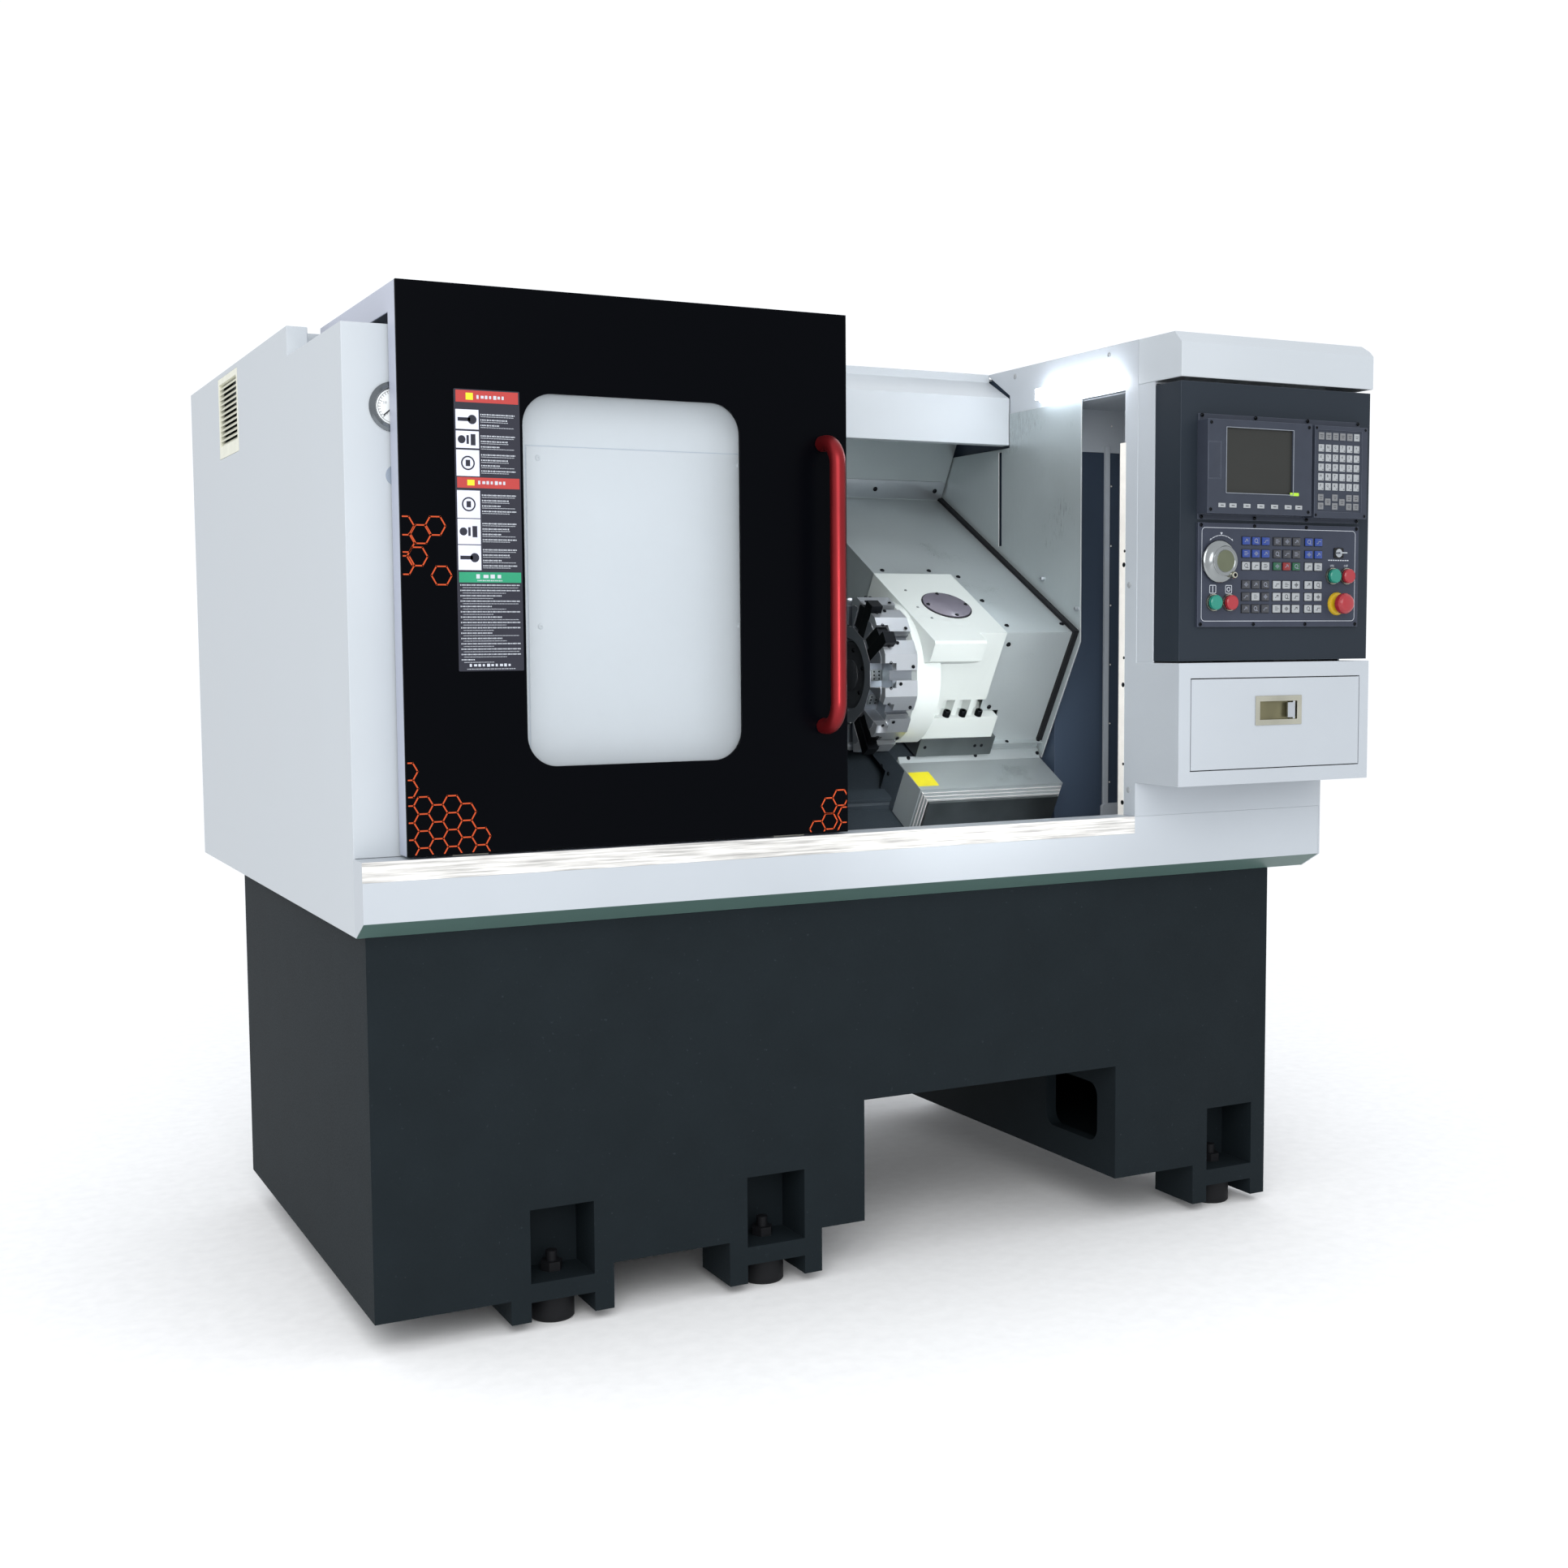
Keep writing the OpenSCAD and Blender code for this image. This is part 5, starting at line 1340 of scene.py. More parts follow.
@dataclass
class ControlColumn:
    """The control box with its display unit, keys, buttons, handwheel and drawer.

    Places on the operator panel and the unit are millimetres from their lower left corners.
    """

    key_edge: float = 1.3
    ink: float = 0.12
    legend_ink: float = 0.08
    arc_r: float = 44.0
    panel_rows: tuple[str, ...] = ("bbbdddbb", "bbbdddbb", "wwwgrgww", "dddwwwww", "dwdwwwww", "dddwwwww")
    pad_rows: tuple[str, ...] = ("", "ONG789", "XYZ456", "FDH123", "MRT-0.", "PQKSJE")
    wheel: Point = (47.5, 123.5)
    knob_r: float = 32.0
    knob_angle: float = -55.0
    cup_margin: float = 11.2
    cup_depth: float = 12.9
    unit: Face = field(init=False)
    panel: Face = field(init=False)

    def build(self) -> None:
        """Dresses the control column."""
        soften("control_box", Body.MACHINE, Finishes.BOX, 1.5, 2, Finishes.BOX_EDGE)
        soften("control_unit", Body.MACHINE, Finishes.UNIT, 1.2, 2, Finishes.UNIT_EDGE)
        soften("operator_panel", Body.MACHINE, Finishes.PANEL, 0.8, 2, Finishes.UNIT_EDGE)
        finish_nodes(Finishes.SCREEN, "lcd_screen")
        finish_nodes(Finishes.GREEN, "start_button", "power_on_button")
        finish_nodes(Finishes.RED, "hold_button", "power_off_button")
        soften("emergency_stop", Body.STOP, Finishes.RED, 1.0, 3)
        finish_nodes(Finishes.BRIGHT, "key_switch")
        self.unit = front_of("control_unit")
        self.panel = front_of("operator_panel")
        self.keys()
        self.unit_marks()
        self.panel_marks()
        self.collars()
        self.handwheel()
        self.drawer()
        self.plate_screws()

    def keys(self) -> None:
        """Rebuilds every key cap with soft edges, sorted by colour, with its legend."""
        finishes = {
            "w": Finishes.LIGHT_KEY, "y": Finishes.GREY_KEY, "b": Finishes.BLUE_KEY, "d": Finishes.DARK_KEY,
            "g": Finishes.GREEN_KEY, "r": Finishes.RED_KEY,
        }
        groups: dict[str, Shaper] = {colour: Shaper() for colour in finishes}
        seats, dark, soft = Shaper(), Shaper(), Shaper()
        caps = islands("key_caps")
        top = high("operator_panel").z
        panel_caps = [c for c in caps if c[1].z < top]
        xs = sorted({round(c[0].x / MM) for c in panel_caps})
        zs = sorted({round(c[0].z / MM) for c in panel_caps}, reverse=True)
        for a, b in panel_caps:
            row, column = zs.index(round(a.z / MM)), xs.index(round(a.x / MM))
            colour = self.panel_rows[row][column]
            # a black collar a little wider than each cap paints the shadow round it
            rim = Vector((0.9 * MM, 0, 0.9 * MM))
            seats.block(Vector((a.x, a.y + 1.6 * MM, a.z)) - rim, b + rim)
            groups[colour].block(a, b, self.key_edge * MM)
            raised = a + Vector((1.6, -0.3, 1.6)) * MM
            groups[colour].block(raised, b - Vector((1.6, 1.0, 1.6)) * MM, 0.25 * MM)
            face = Face(Vector(((a.x + b.x) / 2, a.y - 0.3 * MM, (a.z + b.z) / 2)), X, Z)
            self.legend(dark if colour == "w" else soft, face, row * 8 + column)
        unit_caps = [c for c in caps if c[1].z >= top]
        pad_x = self.unit.at(258, 0).x
        pad = [c for c in unit_caps if c[0].x > pad_x]
        pad_xs = sorted({round(c[0].x / MM) for c in pad})
        pad_zs = sorted({round(c[0].z / MM) for c in pad}, reverse=True)
        for a, b in unit_caps:
            colour, letter = "w", ""
            if a.x > pad_x:
                row, column = pad_zs.index(round(a.z / MM)), pad_xs.index(round(a.x / MM))
                if row >= 6 or (row == 0 and column < 5):
                    colour = "y"
                if 0 < row < 6:
                    letter = self.pad_rows[row][column]
            groups[colour].block(a, b, 1.0 * MM)
            face = Face(Vector(((a.x + b.x) / 2, a.y, (a.z + b.z) / 2)), X, Z)
            if letter:
                dark.letters(face, letter, -1.5, 1.5, 7.5, 0.05)
                dark.tile(face, 2.5, -5, 5, -3.6, self.legend_ink, 0.02)
            elif a.x > pad_x:
                dark.stroke(face, (-3.5, 1.8), (3.5, 1.8), 1.0, self.legend_ink, 0.02)
                dark.stroke(face, (-2.5, -1.8), (2.5, -1.8), 1.0, self.legend_ink, 0.02)
            else:
                dark.stroke(face, (-3.0, 0), (3.0, 0), 1.4, self.legend_ink, 0.02)
        for colour, shape in groups.items():
            made = shape.piece(f"keys_{colour}", Body.MACHINE, finishes[colour])
            if colour == "w":
                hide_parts("key_caps")
        seats.piece("key_shadow_collars", Body.MACHINE, Finishes.BLACK)
        dark.piece("key_legends_dark", Body.MACHINE, Finishes.INK_DARK)
        soft.piece("key_legends_soft", Body.MACHINE, Finishes.INK_SOFT)

    def legend(self, shape: Shaper, face: Face, turn: int) -> None:
        """Adds a key's small generic mark: an arrow, a loop, steps, bars or a cross, by turns.

        Args:
            shape: The mesh it goes into.
            face: The cap's front, from its middle.
            turn: The key's number.
        """
        kind = turn % 5
        if kind == 0:
            for start, end in (((-4, -2), (3, 3)), ((3, 3), (3, -1)), ((3, 3), (-1, 3))):
                shape.stroke(face, start, end, 1.1, self.legend_ink)
        elif kind == 1:
            shape.outline(face, ring_outline(-0.5, 0.5, 4.2, 14), 1.1, self.legend_ink)
            shape.stroke(face, (1, -3.6), (5, -3.6), 1.0, self.legend_ink)
        elif kind == 2:
            steps = ((-5, -2.5), (-1.5, -2.5), (-1.5, 1.5), (4.5, 1.5))
            for start, end in zip(steps, steps[1:]):
                shape.stroke(face, start, end, 1.1, self.legend_ink)
        elif kind == 3:
            for z in (-2.8, 0.2, 3.2):
                shape.stroke(face, (-4.5, z), (4.5 - abs(z), z), 1.0, self.legend_ink)
        else:
            for start, end in (((-4.5, 0), (4.5, 0)), ((0, -4), (0, 4))):
                shape.stroke(face, start, end, 1.1, self.legend_ink)
            shape.outline(face, round_outline(-3, -2.5, 3, 2.5, 0.8, 2), 0.8, self.legend_ink)

    def unit_marks(self) -> None:
        """Adds the screen's bezel, the hatch cover, the tag and the unit's screws."""
        start, end = ((corner - self.unit.corner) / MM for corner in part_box("lcd_screen"))
        rim = 1.2
        bezel = round_outline(start.x - rim, start.z - rim, end.x + rim, end.z + rim, 1.0, 2)
        Shaper().outline(self.unit, bezel, rim, 0.9).piece("screen_bezel", Body.MACHINE, Finishes.BEZEL)
        Shaper().plate(self.unit, round_outline(2.6, 76.2, 28.8, 140.8, 1.5), 0.5, 0.0, 0.3).piece(
            "card_hatch", Body.MACHINE, Finishes.UNIT
        )
        Shaper().plate(self.unit, round_outline(199, 47, 221, 53, 1.2), 0.25).piece(
            "screen_tag", Body.MACHINE, Finishes.TAG
        )
        display = ("display_screws", (7.5, 245), (17, 178), 0.55)
        keypad = ("keypad_screws", (264, 388.5), (12.5, 179), 0.45)
        for name, xs, zs, size in (display, keypad):
            places = [self.unit.turn(x, z) for x in xs for z in zs]
            SCREWS.put(name, Body.MACHINE, Finishes.OXIDE, SCREWS.dome(), places, size)

    def panel_marks(self) -> None:
        """Adds the operator panel's printed border, scale, boxes and words."""
        panel = self.panel
        light = Shaper()
        light.outline(panel, round_outline(8.5, 10.5, 391.5, 187.5, 8.0), 1.0, self.ink)
        x, z = self.wheel[0] + 8, self.wheel[1] + 5.4
        angles = [math.radians(50 + 10 * i) for i in range(9)]
        arc = [(x + self.arc_r * math.cos(a), z + self.arc_r * math.sin(a)) for a in angles]
        for a, b in zip(arc, arc[1:]):
            light.stroke(panel, a, b, 1.2, self.ink)
        light.stroke(panel, arc[0], (arc[0][0] - 2.5, arc[0][1] + 3.5), 0.9, self.ink)
        light.stroke(panel, arc[-1], (arc[-1][0] + 2.5, arc[-1][1] + 3.5), 0.9, self.ink)
        light.plate(panel, [(x - 3, z + 49.5), (x, z + 44.5), (x + 3, z + 49.5)], self.ink)
        for bx, mark in ((36.0, "I"), (74.2, "O")):
            light.outline(panel, round_outline(bx - 8, 63.2, bx + 8, 79.2, 2.0, 3), 1.3, self.ink)
            if mark == "I":
                light.stroke(panel, (bx, 66.5), (bx, 76), 1.8, self.ink)
            else:
                light.outline(panel, ring_outline(bx, 71.2, 4.6, 16), 1.5, self.ink)
        light.letters(panel, "ON", 331.5, 118.5, 6.5).letters(panel, "OFF", 367.5, 118.5, 6.5)
        for k in range(9):
            light.tile(panel, 322 + k * 6, 128.4, 326 + k * 6, 130.4, 0.1)
        light.piece("panel_print", Body.MACHINE, Finishes.INK_LIGHT)

    def collars(self) -> None:
        """Adds the chrome collars of the buttons, the yellow ring and the key lock's frame."""
        collar = [
            (0.0144, 0), (0.0168, 0), (0.0168, 0.002), (0.0158, 0.0044), (0.0148, 0.0044), (0.0144, 0.0038),
            (0.0144, 0),
        ]
        chrome = Shaper()
        for node in ("start_button", "hold_button", "power_on_button", "power_off_button"):
            chrome.turned(collar, self.on_panel(node), FRONT, 32)
        chrome.piece("button_collars", Body.MACHINE, Finishes.CHROME)
        ring = [
            (0.0093, 0), (0.0225, 0), (0.0225, 0.002), (0.0205, 0.0056), (0.0175, 0.0068), (0.0093, 0.0068),
            (0.0093, 0),
        ]
        Shaper().turned(ring, self.on_panel("emergency_stop"), FRONT, 40).piece(
            "stop_ring", Body.MACHINE, Finishes.YELLOW
        )
        lock = (self.on_panel("key_switch") - self.panel.corner) / MM
        corners = round_outline(lock.x - 12, lock.z - 10, lock.x + 12, lock.z + 10, 2.0, 3)
        holder = Shaper().outline(self.panel, corners, 3.4, 2.4)
        holder.outline(self.panel, ring_outline(lock.x, lock.z, 11, 28), 2.2, 1.2)
        holder.piece("key_lock_frame", Body.MACHINE, Finishes.BLACK)

    def on_panel(self, node: str) -> Vector:
        """Returns the point of the operator panel's front behind a node's middle."""
        centre = middle(node)
        return Vector((centre.x, self.panel.corner.y, centre.z))

    def handwheel(self) -> None:
        """Rebuilds the handwheel as turned chrome with a waist, a front ring and a dull centre cap."""
        at, out = self.panel.at(*self.wheel), FRONT
        wheel = Shaper()
        wheel.turned(
            [(0, 0.0008), (0.0385, 0.0008), (0.04, 0.0022), (0.04, 0.0068), (0.0388, 0.0082), (0.036, 0.0092),
             (0.031, 0.0108), (0.0262, 0.0135), (0.0236, 0.0165), (0.0232, 0.0185), (0.0262, 0.0198),
             (0.0282, 0.0212), (0.0286, 0.0226), (0.0276, 0.0238), (0.0222, 0.024), (0.0212, 0.0232),
             (0, 0.0232)],
            at, out, 56,
        )
        made = wheel.piece("handwheel_turned", Body.HANDWHEEL, Finishes.SPUN)
        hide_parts("handwheel")
        Shaper().turned(
            [(0, 0.0231), (0.0208, 0.0231), (0.0204, 0.0236), (0.018, 0.0238), (0, 0.0238)], at, out, 48
        ).piece("handwheel_cap", Body.HANDWHEEL, Finishes.OLIVE)
        x, z = self.wheel
        angle = math.radians(self.knob_angle)
        knob = self.panel.at(x + self.knob_r * math.cos(angle), z + self.knob_r * math.sin(angle))
        Shaper().turned(
            [(0, 0.0085), (0.004, 0.0085), (0.004, 0.016), (0.0055, 0.0172), (0.007, 0.020), (0.0068, 0.0262),
             (0.0056, 0.0286), (0.003, 0.029), (0, 0.029)], knob, out, 28,
        ).piece("handwheel_knob", Body.HANDWHEEL, Finishes.CHROME)
        Shaper().turned(
            [(0, 0.0288), (0.0036, 0.0288), (0.0034, 0.02915), (0, 0.0292)], knob, out, 20
        ).piece("handwheel_knob_pin", Body.HANDWHEEL, Finishes.OXIDE)

    def drawer(self) -> None:
        """Dresses the drawer and its recessed pull."""
        soften("drawer", Body.DRAWER, Finishes.COLUMN, 1.5)
        soften("pull_plate", Body.DRAWER, Finishes.CHROME, 4.0, 4)
        plate = front_of("pull_plate")
        far, near = (high("pull_plate") - low("pull_plate")) / MM, self.cup_margin
        cup = round_outline(near, near, far.x - near, far.z - near, 3.0)
        # the cup's darker plating is painted shade in the recess
        Shaper().plate(plate, cup, 0.3, -self.cup_depth).piece("pull_cup", Body.DRAWER, Finishes.CUP)
        soften("pull_paddle", Body.PADDLE, Finishes.BRIGHT, 1.0, 3)

    def plate_screws(self) -> None:
        """Adds the black screws along the edges of the two plates."""
        back = (low("operator_panel").y - low("control_unit").y) / MM
        columns = (7, 135.5, 264.5, 393.5)
        places = [self.unit.turn(x, z, -back) for x in columns for z in (4.5, 194)]
        places += [self.panel.turn(x, z) for x in columns for z in (4.8, 191.5)]
        SCREWS.put("plate_screws", Body.MACHINE, Finishes.OXIDE, SCREWS.dome(), places, 0.62)


@dataclass
class WorkArea:
    """The lined work area with its pan, lamp and jamb, and the machinery behind it; sizes in millimetres."""

    strip_x: float = 121.5
    strip_wide: float = 12.0
    jamb_screw_x: float = 141.0
    jamb_screw_top: float = 1036.0
    jamb_screw_pitch: float = 124.5
    jamb_screw_count: int = 8
    guard_v: float = 745.0
    guard_top_w: float = 144.0
    guard_front_v: float = 141.0
    top_screws: tuple[Point, ...] = (
        (26, 399.5), (137.8, 400), (196, 374.7), (197.4, 271.5), (198.4, 168.4), (335.3, 174.4)
    )
    front_screws: tuple[Point, ...] = ((196.1, 116.6), (197.8, -30.1))
    lip_screws: tuple[Point, ...] = ((176, -189), (145, -188), (160, -273), (141, -254))
    field_box: tuple[float, float, float, float] = (9.5, 34.0, 57.5, 83.6)

    def build(self) -> None:
        """Dresses the work area."""
        finish_nodes(Finishes.LINING, "inner_lining")
        finish_nodes(Finishes.PAN, "chip_pan")
        jamb = soften("jamb_panel", Body.MACHINE, Finishes.JAMB, 1.0)
        strip = low("jamb_panel").x + self.strip_x * MM
        # the strip's faces get the brighter finish, which paints the light on them
        jamb.data.materials.append(Finishes.STRIP.material())
        for face in jamb.data.polygons:
            if 0 < face.center.x - strip < self.strip_wide * MM and face.normal.y < 0.5:
                face.material_index = 1
        finish_nodes(Finishes.LAMP, "work_lamp")
        finish_nodes(Finishes.BED, "bed_casting", "headstock", "saddle")
        finish_nodes(Finishes.MOTOR, "spindle_motor", "z_drive")
        finish_nodes(Finishes.RUBBER, "drive_belt")
        finish_nodes(Finishes.DULL, "motor_pulley", "z_screw", "spindle")
        soften("saddle_guard", Body.SADDLE, Finishes.STAINLESS, 1.0, 2, Finishes.SHEET_EDGE)
        soften("bulkhead", Body.MACHINE, Finishes.STAINLESS, 0.6, 2, Finishes.SHEET_EDGE)
        finish_nodes(Finishes.RUBBER, "bulkhead_seal")
        for count in (2, 3, 4):
            sheet, body = f"telescopic_sheet_{count}", Body(f"sheet_{count}")
            soften(sheet, body, Finishes.STAINLESS, 1.0, 2, Finishes.SHEET_EDGE)
        finish_nodes(Finishes.BRIGHT, "chuck_body")
        finish_nodes(Finishes.DULL, "chuck_jaw_1", "chuck_jaw_2", "chuck_jaw_3")
        self.jamb_screws()
        self.bulkhead_screws()
        self.guard_screws()
        self.guard_strip()

    def jamb_screws(self) -> None:
        """Adds the small screws down the jamb, and on the column's edge a bright band of painted highlight
        and dark discs of painted shade in its holes.
        """
        edge = front_of("jamb_panel")
        heights = [self.jamb_screw_top - self.jamb_screw_pitch * k for k in range(self.jamb_screw_count)]
        places = [edge.turn(self.jamb_screw_x, z) for z in heights]
        SCREWS.put("jamb_screws", Body.MACHINE, Finishes.STRIP, SCREWS.dome(), places, 0.3)
        side = Face(Vector((low("column_shell").x, low("jamb_panel").y, 0.0)), FRONT, Z)
        # a band of the strip's bright white paints the highlight along the column's edge
        band = Shaper().plate(side, round_outline(228.0, 760.0, 246.0, 1560.0, 1.0, 2), 0.3)
        band.piece("column_edge_highlight", Body.MACHINE, Finishes.STRIP)
        # flat dark discs paint the shade inside the edge's holes
        flat = Matrix.Scale(0.1, 4, Z)
        holes = [(242.0, z, 0.8) for z in (1323.8, 1089.6, 857.6)]
        holes += [(244.0, z, 0.5) for z in (1350.5, 1142.6, 933.9)]
        places = [side.turn(x, z, 0.3) @ flat @ Matrix.Scale(size, 4) for x, z, size in holes]
        SCREWS.put("column_edge_holes", Body.MACHINE, Finishes.OXIDE, SCREWS.dome(), places)

    def bulkhead_screws(self) -> None:
        """Adds the bright screws on the bulkhead, round its seal."""
        x, front, top = *low("bulkhead").xy, high("bulkhead").z
        spots = [(282.2, 335.2), (129.8, 354.2), (9.0, 418.7)]
        places = [facing(Vector((x, front + y * MM, top - z * MM)), LEFT) for y, z in spots]
        SCREWS.put("bulkhead_screws", Body.MACHINE, Finishes.BRIGHT, SCREWS.cap(), places, 0.9)

    def guard_screws(self) -> None:
        """Adds the saddle guard's screws and its plain yellow field."""
        left = low("saddle_guard").x / MM
        top, front = SLOPE.top(self.guard_top_w), SLOPE.front(self.guard_front_v)
        heads = [top.turn(left + x, v) for x, v in self.top_screws]
        heads += [front.turn(left + x, w) for x, w in self.front_screws]
        SCREWS.put("guard_screws", Body.SADDLE, Finishes.OXIDE, SCREWS.dome(), heads, 0.85)
        lean = (SLOPE.out * 17.0 - SLOPE.up * 12.5).normalized()
        low_heads = [facing(SLOPE.at((left + x) * MM, 126.5, -138.7), lean) for x in (31.5, 191.5, 345.0)]
        flange = SLOPE.top(-112.0)
        low_heads += [flange.turn(left + x, 134.0) for x in (264.5, 342.5)]
        low_heads += [facing(SLOPE.at((left + 8) * MM, v, w), LEFT) for v, w in self.lip_screws]
        SCREWS.put("ledge_screws", Body.SADDLE, Finishes.OXIDE, SCREWS.dome(), low_heads, 0.7)
        x0, v0, x1, v1 = self.field_box
        sticker = round_outline(left + x0, v0, left + x1, v1, 2.0, 3)
        Shaper().plate(SLOPE.top(-145.0), sticker, 0.3).piece("yellow_field", Body.SADDLE, Finishes.FIELD)

    def guard_strip(self) -> None:
        """Adds the bolted bright strip across the guard's upright."""
        left, right = low("saddle_guard").x / MM, high("saddle_guard").x / MM
        upright = SLOPE.front(self.guard_v)
        strip = round_outline(left + 2, 147.0, right - 2, 190.0, 2.0, 3)
        Shaper().plate(upright, strip, 3.0, 0.0, 0.6).piece("guard_strip", Body.SADDLE, Finishes.BRIGHT)
        places = [upright.turn(left + x, 168.0, 3.0) for x in (20, 171.5, 325.5)]
        SCREWS.put("guard_strip_screws", Body.SADDLE, Finishes.OXIDE, SCREWS.dome(), places, 0.9)


@dataclass
class Turret:
    """The tool turret on its cross slide; sizes in millimetres."""

    disc_r: float = 153.0
    pocket_r: float = 95.2
    centre_v: float = 227.0
    stations: int = 12
    filled: tuple[int, ...] = (0, 1, 4, 7, 9)
    hub_screw_r: float = 50.0
    block_screw_x: float = 50.0
    cover: Point = (118.5, 240.0)
    cover_screw_r: float = 44.0
    plugs: tuple[Point, ...] = ((55.5, 303), (48, 233), (57.5, 189))

    def build(self) -> None:
        """Dresses the turret."""
        finish_nodes(Finishes.DULL, "cross_slide")
        soften("turret_housing", Body.CROSS_SLIDE, Finishes.TURRET, 3.0, 3)
        soften("turret_disc", Body.TURRET, Finishes.DISC, 0.8, 2, Finishes.SHEET_EDGE)
        soften("tool_blocks", Body.TURRET, Finishes.BRIGHT, 0.8, 2, Finishes.SHEET_EDGE)
        soften("tool_holders", Body.TURRET, Finishes.OXIDE, 0.8)
        self.hub()
        self.block_screws()
        self.housing_cover()

    def hub(self) -> None:
        """Adds the black hub cover with its ring of screws and its centre cap."""
        at = SLOPE.at(low("turret_disc").x + 9.2 * MM, self.centre_v, 0.0)
        Shaper().turned(
            [(0, 0.0002), (0.0672, 0.0002), (0.0672, 0.0006), (0.066, 0.0014), (0.058, 0.0014),
             (0.0565, 0.0006), (0.031, 0.0006), (0.030, 0.002), (0.0285, 0.003), (0, 0.003)], at, LEFT, 56,
        ).piece("hub_cover_face", Body.TURRET, Finishes.HUB)
        places = []
        for i in range(6):
            a = math.tau * (i + 0.25) / 6
            up, out = self.hub_screw_r * math.cos(a), self.hub_screw_r * math.sin(a)
            places.append(facing(SLOPE.at(at.x - 0.8 * MM, self.centre_v + up, out), LEFT))
        SCREWS.put("hub_screws", Body.TURRET, Finishes.OXIDE, SCREWS.dome(), places, 0.75)

    def block_screws(self) -> None:
        """Adds the clamping screws on the blocks and the drilled plates in the empty pockets."""
        left = low("turret_disc").x / MM
        rings, plates = Shaper(), Shaper()
        sockets, centres, dots = [], [], []
        ring = [(0.0042, 0), (0.0056, 0), (0.0056, 0.0006), (0.0042, 0.0006), (0.0042, 0)]
        for i in range(self.stations):
            land = self.rim(i + 0.5, self.disc_r)
            sockets += [land.turn(left + x, y) for x, y in ((14, -15), (14, 15), (35, 24), (63, -24))]
            x, y = left + self.block_screw_x, 6 if i % 2 else -6
            centres.append(land.turn(x, y))
            rings.turned(ring, land.at(x, y), land.out, 24)
            if i not in self.filled:
                pocket = self.rim(i, self.pocket_r)
                plates.plate(pocket, round_outline(left + 2, -11, left + 25, 11, 1.0, 2), 2.0, 0.0, 0.4)
                # dark dots paint the shade in the plates' drilled holes
                dots += [pocket.turn(left + x, y, 2.0) for x in (8, 19) for y in (-7, 0, 7)]
        SCREWS.put("block_sockets", Body.TURRET, Finishes.OXIDE, SCREWS.dome(), sockets, 0.62)
        SCREWS.put("block_screws", Body.TURRET, Finishes.BRIGHT, SCREWS.dome(), centres, 0.6)
        rings.piece("block_screw_rings", Body.TURRET, Finishes.OXIDE)
        plates.piece("pocket_plates", Body.TURRET, Finishes.DULL)
        SCREWS.put("pocket_plate_holes", Body.TURRET, Finishes.OXIDE, SCREWS.dome(), dots, 0.3)

    def rim(self, station: float, radius: float) -> Face:
        """Returns the flat at a station of the disc: x along the spindle, y round the disc.

        Args:
            station: The station, counted from the one that looks out of the slope.
            radius: The flat's distance from the disc's axis in millimetres.

        Returns:
            The face.
        """
        angle = math.tau * station / self.stations
        out = SLOPE.out * math.cos(angle) - SLOPE.up * math.sin(angle)
        centre = SLOPE.at(0.0, self.centre_v, 0.0)
        return Face(centre + out * (radius * MM), X, out.cross(X))

    def housing_cover(self) -> None:
        """Adds the round cover, its seal and screws, and the screws, bolts and plugs round the housing."""
        left, top = low("turret_housing").x / MM, SLOPE.top(150.0)
        middle_x, middle_y = left + self.cover[0], self.cover[1]
        at = top.at(middle_x, middle_y)
        disc = [(0, 0), (0.0498, 0), (0.0498, 0.0028), (0.049, 0.0032), (0, 0.0032)]
        Shaper().turned(disc, at, top.out, 48).piece("housing_cover", Body.CROSS_SLIDE, Finishes.SIGHT)
        seal = [(0.0499, 0), (0.0525, 0), (0.0525, 0.0012), (0.0499, 0.0016), (0.0499, 0)]
        Shaper().turned(seal, at, top.out, 48).piece("housing_cover_seal", Body.CROSS_SLIDE, Finishes.RUBBER)
        dome, cap, oxide = SCREWS.dome(), SCREWS.cap(), Finishes.OXIDE
        front, pocket, slide = SLOPE.front(130.0), SLOPE.top(-40.0), SLOPE.front(120.0)
        seats = ring_outline(middle_x, middle_y, self.cover_screw_r, 4)
        rows = (
            ("housing_cover_screws", oxide, dome, 0.7, top, [(x, y, 3.0) for x, y in seats]),
            # ring_holes: dark heads paint the shade in two holes on the front
            ("ring_holes", oxide, dome, 0.6, front, [(left + 63.5, -26.0), (left + 74.0, -43.0)]),
            ("pocket_bolts", oxide, cap, 1.5, pocket, [(left + x, 126.0) for x in (114.5, 152.5, 190.5)]),
            ("slide_screws", oxide, dome, 0.6, slide, [(left + x, -110.0) for x in (83.5, 202.5, 218.5)]),
            ("housing_plugs", Finishes.DULL, dome, 0.5, top, [(left + x, v) for x, v in self.plugs]),
        )
        for name, finish, kind, size, face, spots in rows:
            SCREWS.put(name, Body.CROSS_SLIDE, finish, kind, [face.turn(*spot) for spot in spots], size)


# ---------------------------------------------------------------- studio
@dataclass(frozen=True)
class Light:
    """A soft light: where it hangs and looks, its width, its power in watts and how far it fans out."""

    name: str
    at: tuple[float, float, float]
    target: tuple[float, float, float]
    size: float
    power: float
    spread: float


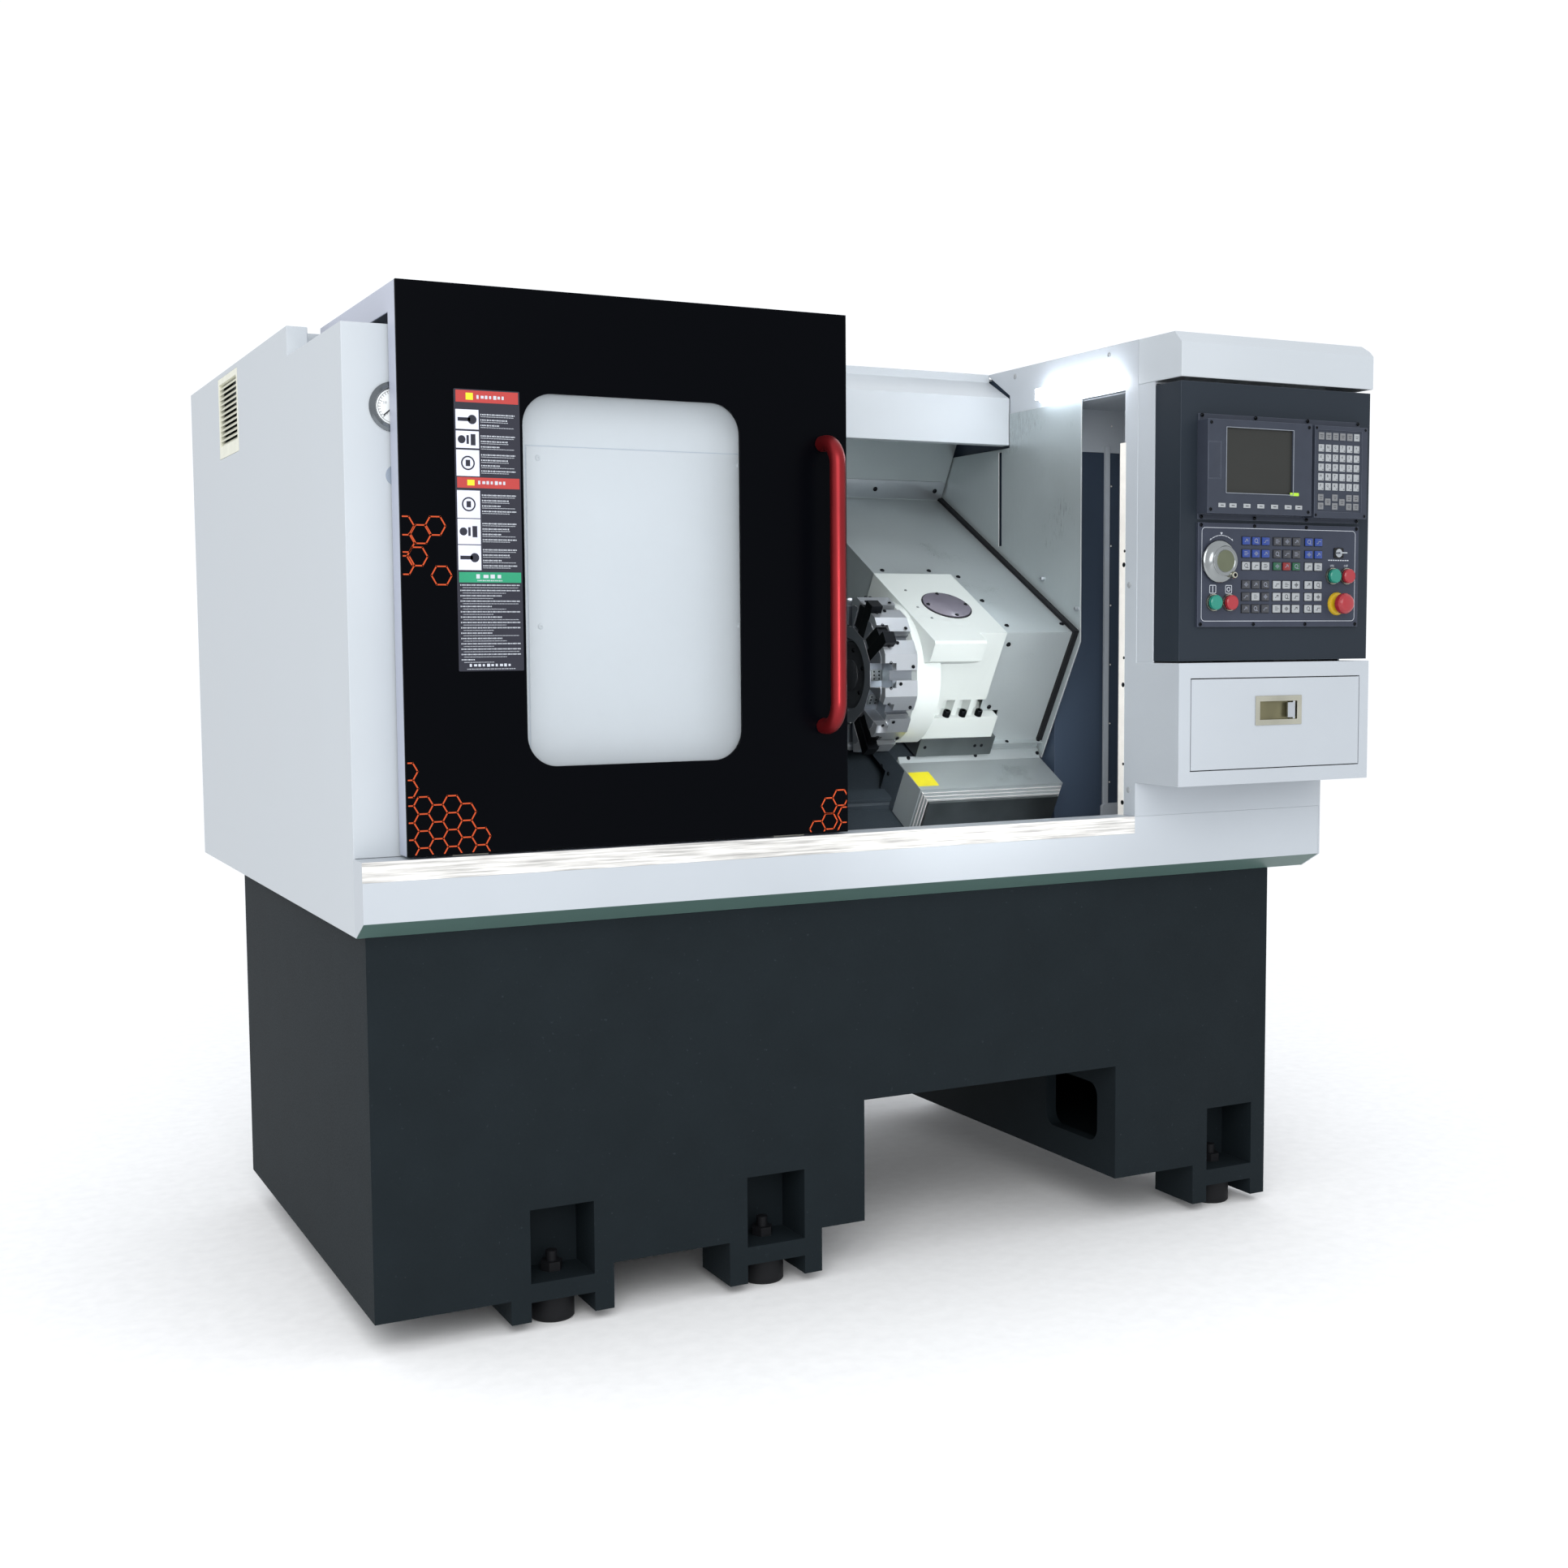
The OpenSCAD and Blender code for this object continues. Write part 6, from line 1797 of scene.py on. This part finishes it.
@dataclass
class Studio:
    """The floor, the lights and the camera."""

    eye: tuple[float, float, float] = (-1.7125, -3.5735, 1.1795)
    yaw: float = 26.698
    pitch: float = -4.3997
    roll: float = -0.4023
    lens: float = 42.585
    sky: float = 1.08
    floor_size: float = 60.0
    lights: tuple[Light, ...] = (
        Light("key", (-2.0, -4.3, 2.8), (-0.3, 0.0, 0.9), 3.2, 110.0, 180.0),
        Light("inside", (0.20, -0.60, 1.70), (0.34, 0.0, 0.9), 0.3, 0.4, 180.0),
        Light("front", (-1.2, -3.6, 1.30), (0.26, -0.4, 1.04), 0.35, 0.8, 12.0),
    )

    def build(self) -> None:
        """Sets the stage."""
        self.floor()
        for light in self.lights:
            self.hang(light)
        world = bpy.data.worlds.new("studio")
        world.use_nodes = True
        background = world.node_tree.nodes["Background"]
        background.inputs["Color"].default_value = srgb("#fafcff")
        background.inputs["Strength"].default_value = self.sky
        bpy.context.scene.world = world
        # plain sRGB display, so that a finish's hex colour is what the eye sees
        bpy.context.scene.view_settings.view_transform = "Standard"
        self.camera()

    def floor(self) -> None:
        """Lays the pale floor."""
        bm = bmesh.new()
        bmesh.ops.create_grid(bm, x_segments=1, y_segments=1, size=self.floor_size)
        mesh = bpy.data.meshes.new("studio_floor")
        bm.to_mesh(mesh)
        bm.free()
        mesh.materials.append(Moulded("studio_paper", "#ffffff", 0.95, specular=0.0).material())
        made = bpy.data.objects.new("studio_floor", mesh)
        bpy.context.scene.collection.objects.link(made)

    def hang(self, light: Light) -> None:
        """Hangs a light.

        Args:
            light: Its name, places and power.
        """
        lamp = bpy.data.lights.new(light.name, "AREA")
        lamp.energy = light.power
        lamp.size = light.size
        lamp.spread = math.radians(light.spread)
        made = bpy.data.objects.new(light.name, lamp)
        bpy.context.scene.collection.objects.link(made)
        made.location = light.at
        made.visible_camera = False
        made.rotation_euler = (Vector(light.target) - Vector(light.at)).to_track_quat("-Z", "Y").to_euler()

    def camera(self) -> None:
        """Sets the camera."""
        data = bpy.data.cameras.new("camera")
        data.lens = self.lens
        data.sensor_width = 36.0
        data.clip_end = 200
        made = bpy.data.objects.new("camera", data)
        bpy.context.scene.collection.objects.link(made)
        turn = (
            Matrix.Rotation(-math.radians(self.yaw), 4, "Z")
            @ Matrix.Rotation(math.radians(90 + self.pitch), 4, "X")
            @ Matrix.Rotation(math.radians(self.roll), 4, "Z")
        )
        made.matrix_world = Matrix.Translation(Vector(self.eye)) @ turn
        bpy.context.scene.camera = made


def main() -> None:
    """Builds every sub-assembly in order."""
    logging.basicConfig(level=logging.INFO)
    parts: list[object] = [Casing(), Base(), Door(), ControlColumn(), WorkArea(), Turret(), Studio()]
    for part in parts:
        part.build()
        LOG.info("built %s", type(part).__name__)


if __name__ == "__main__":
    main()
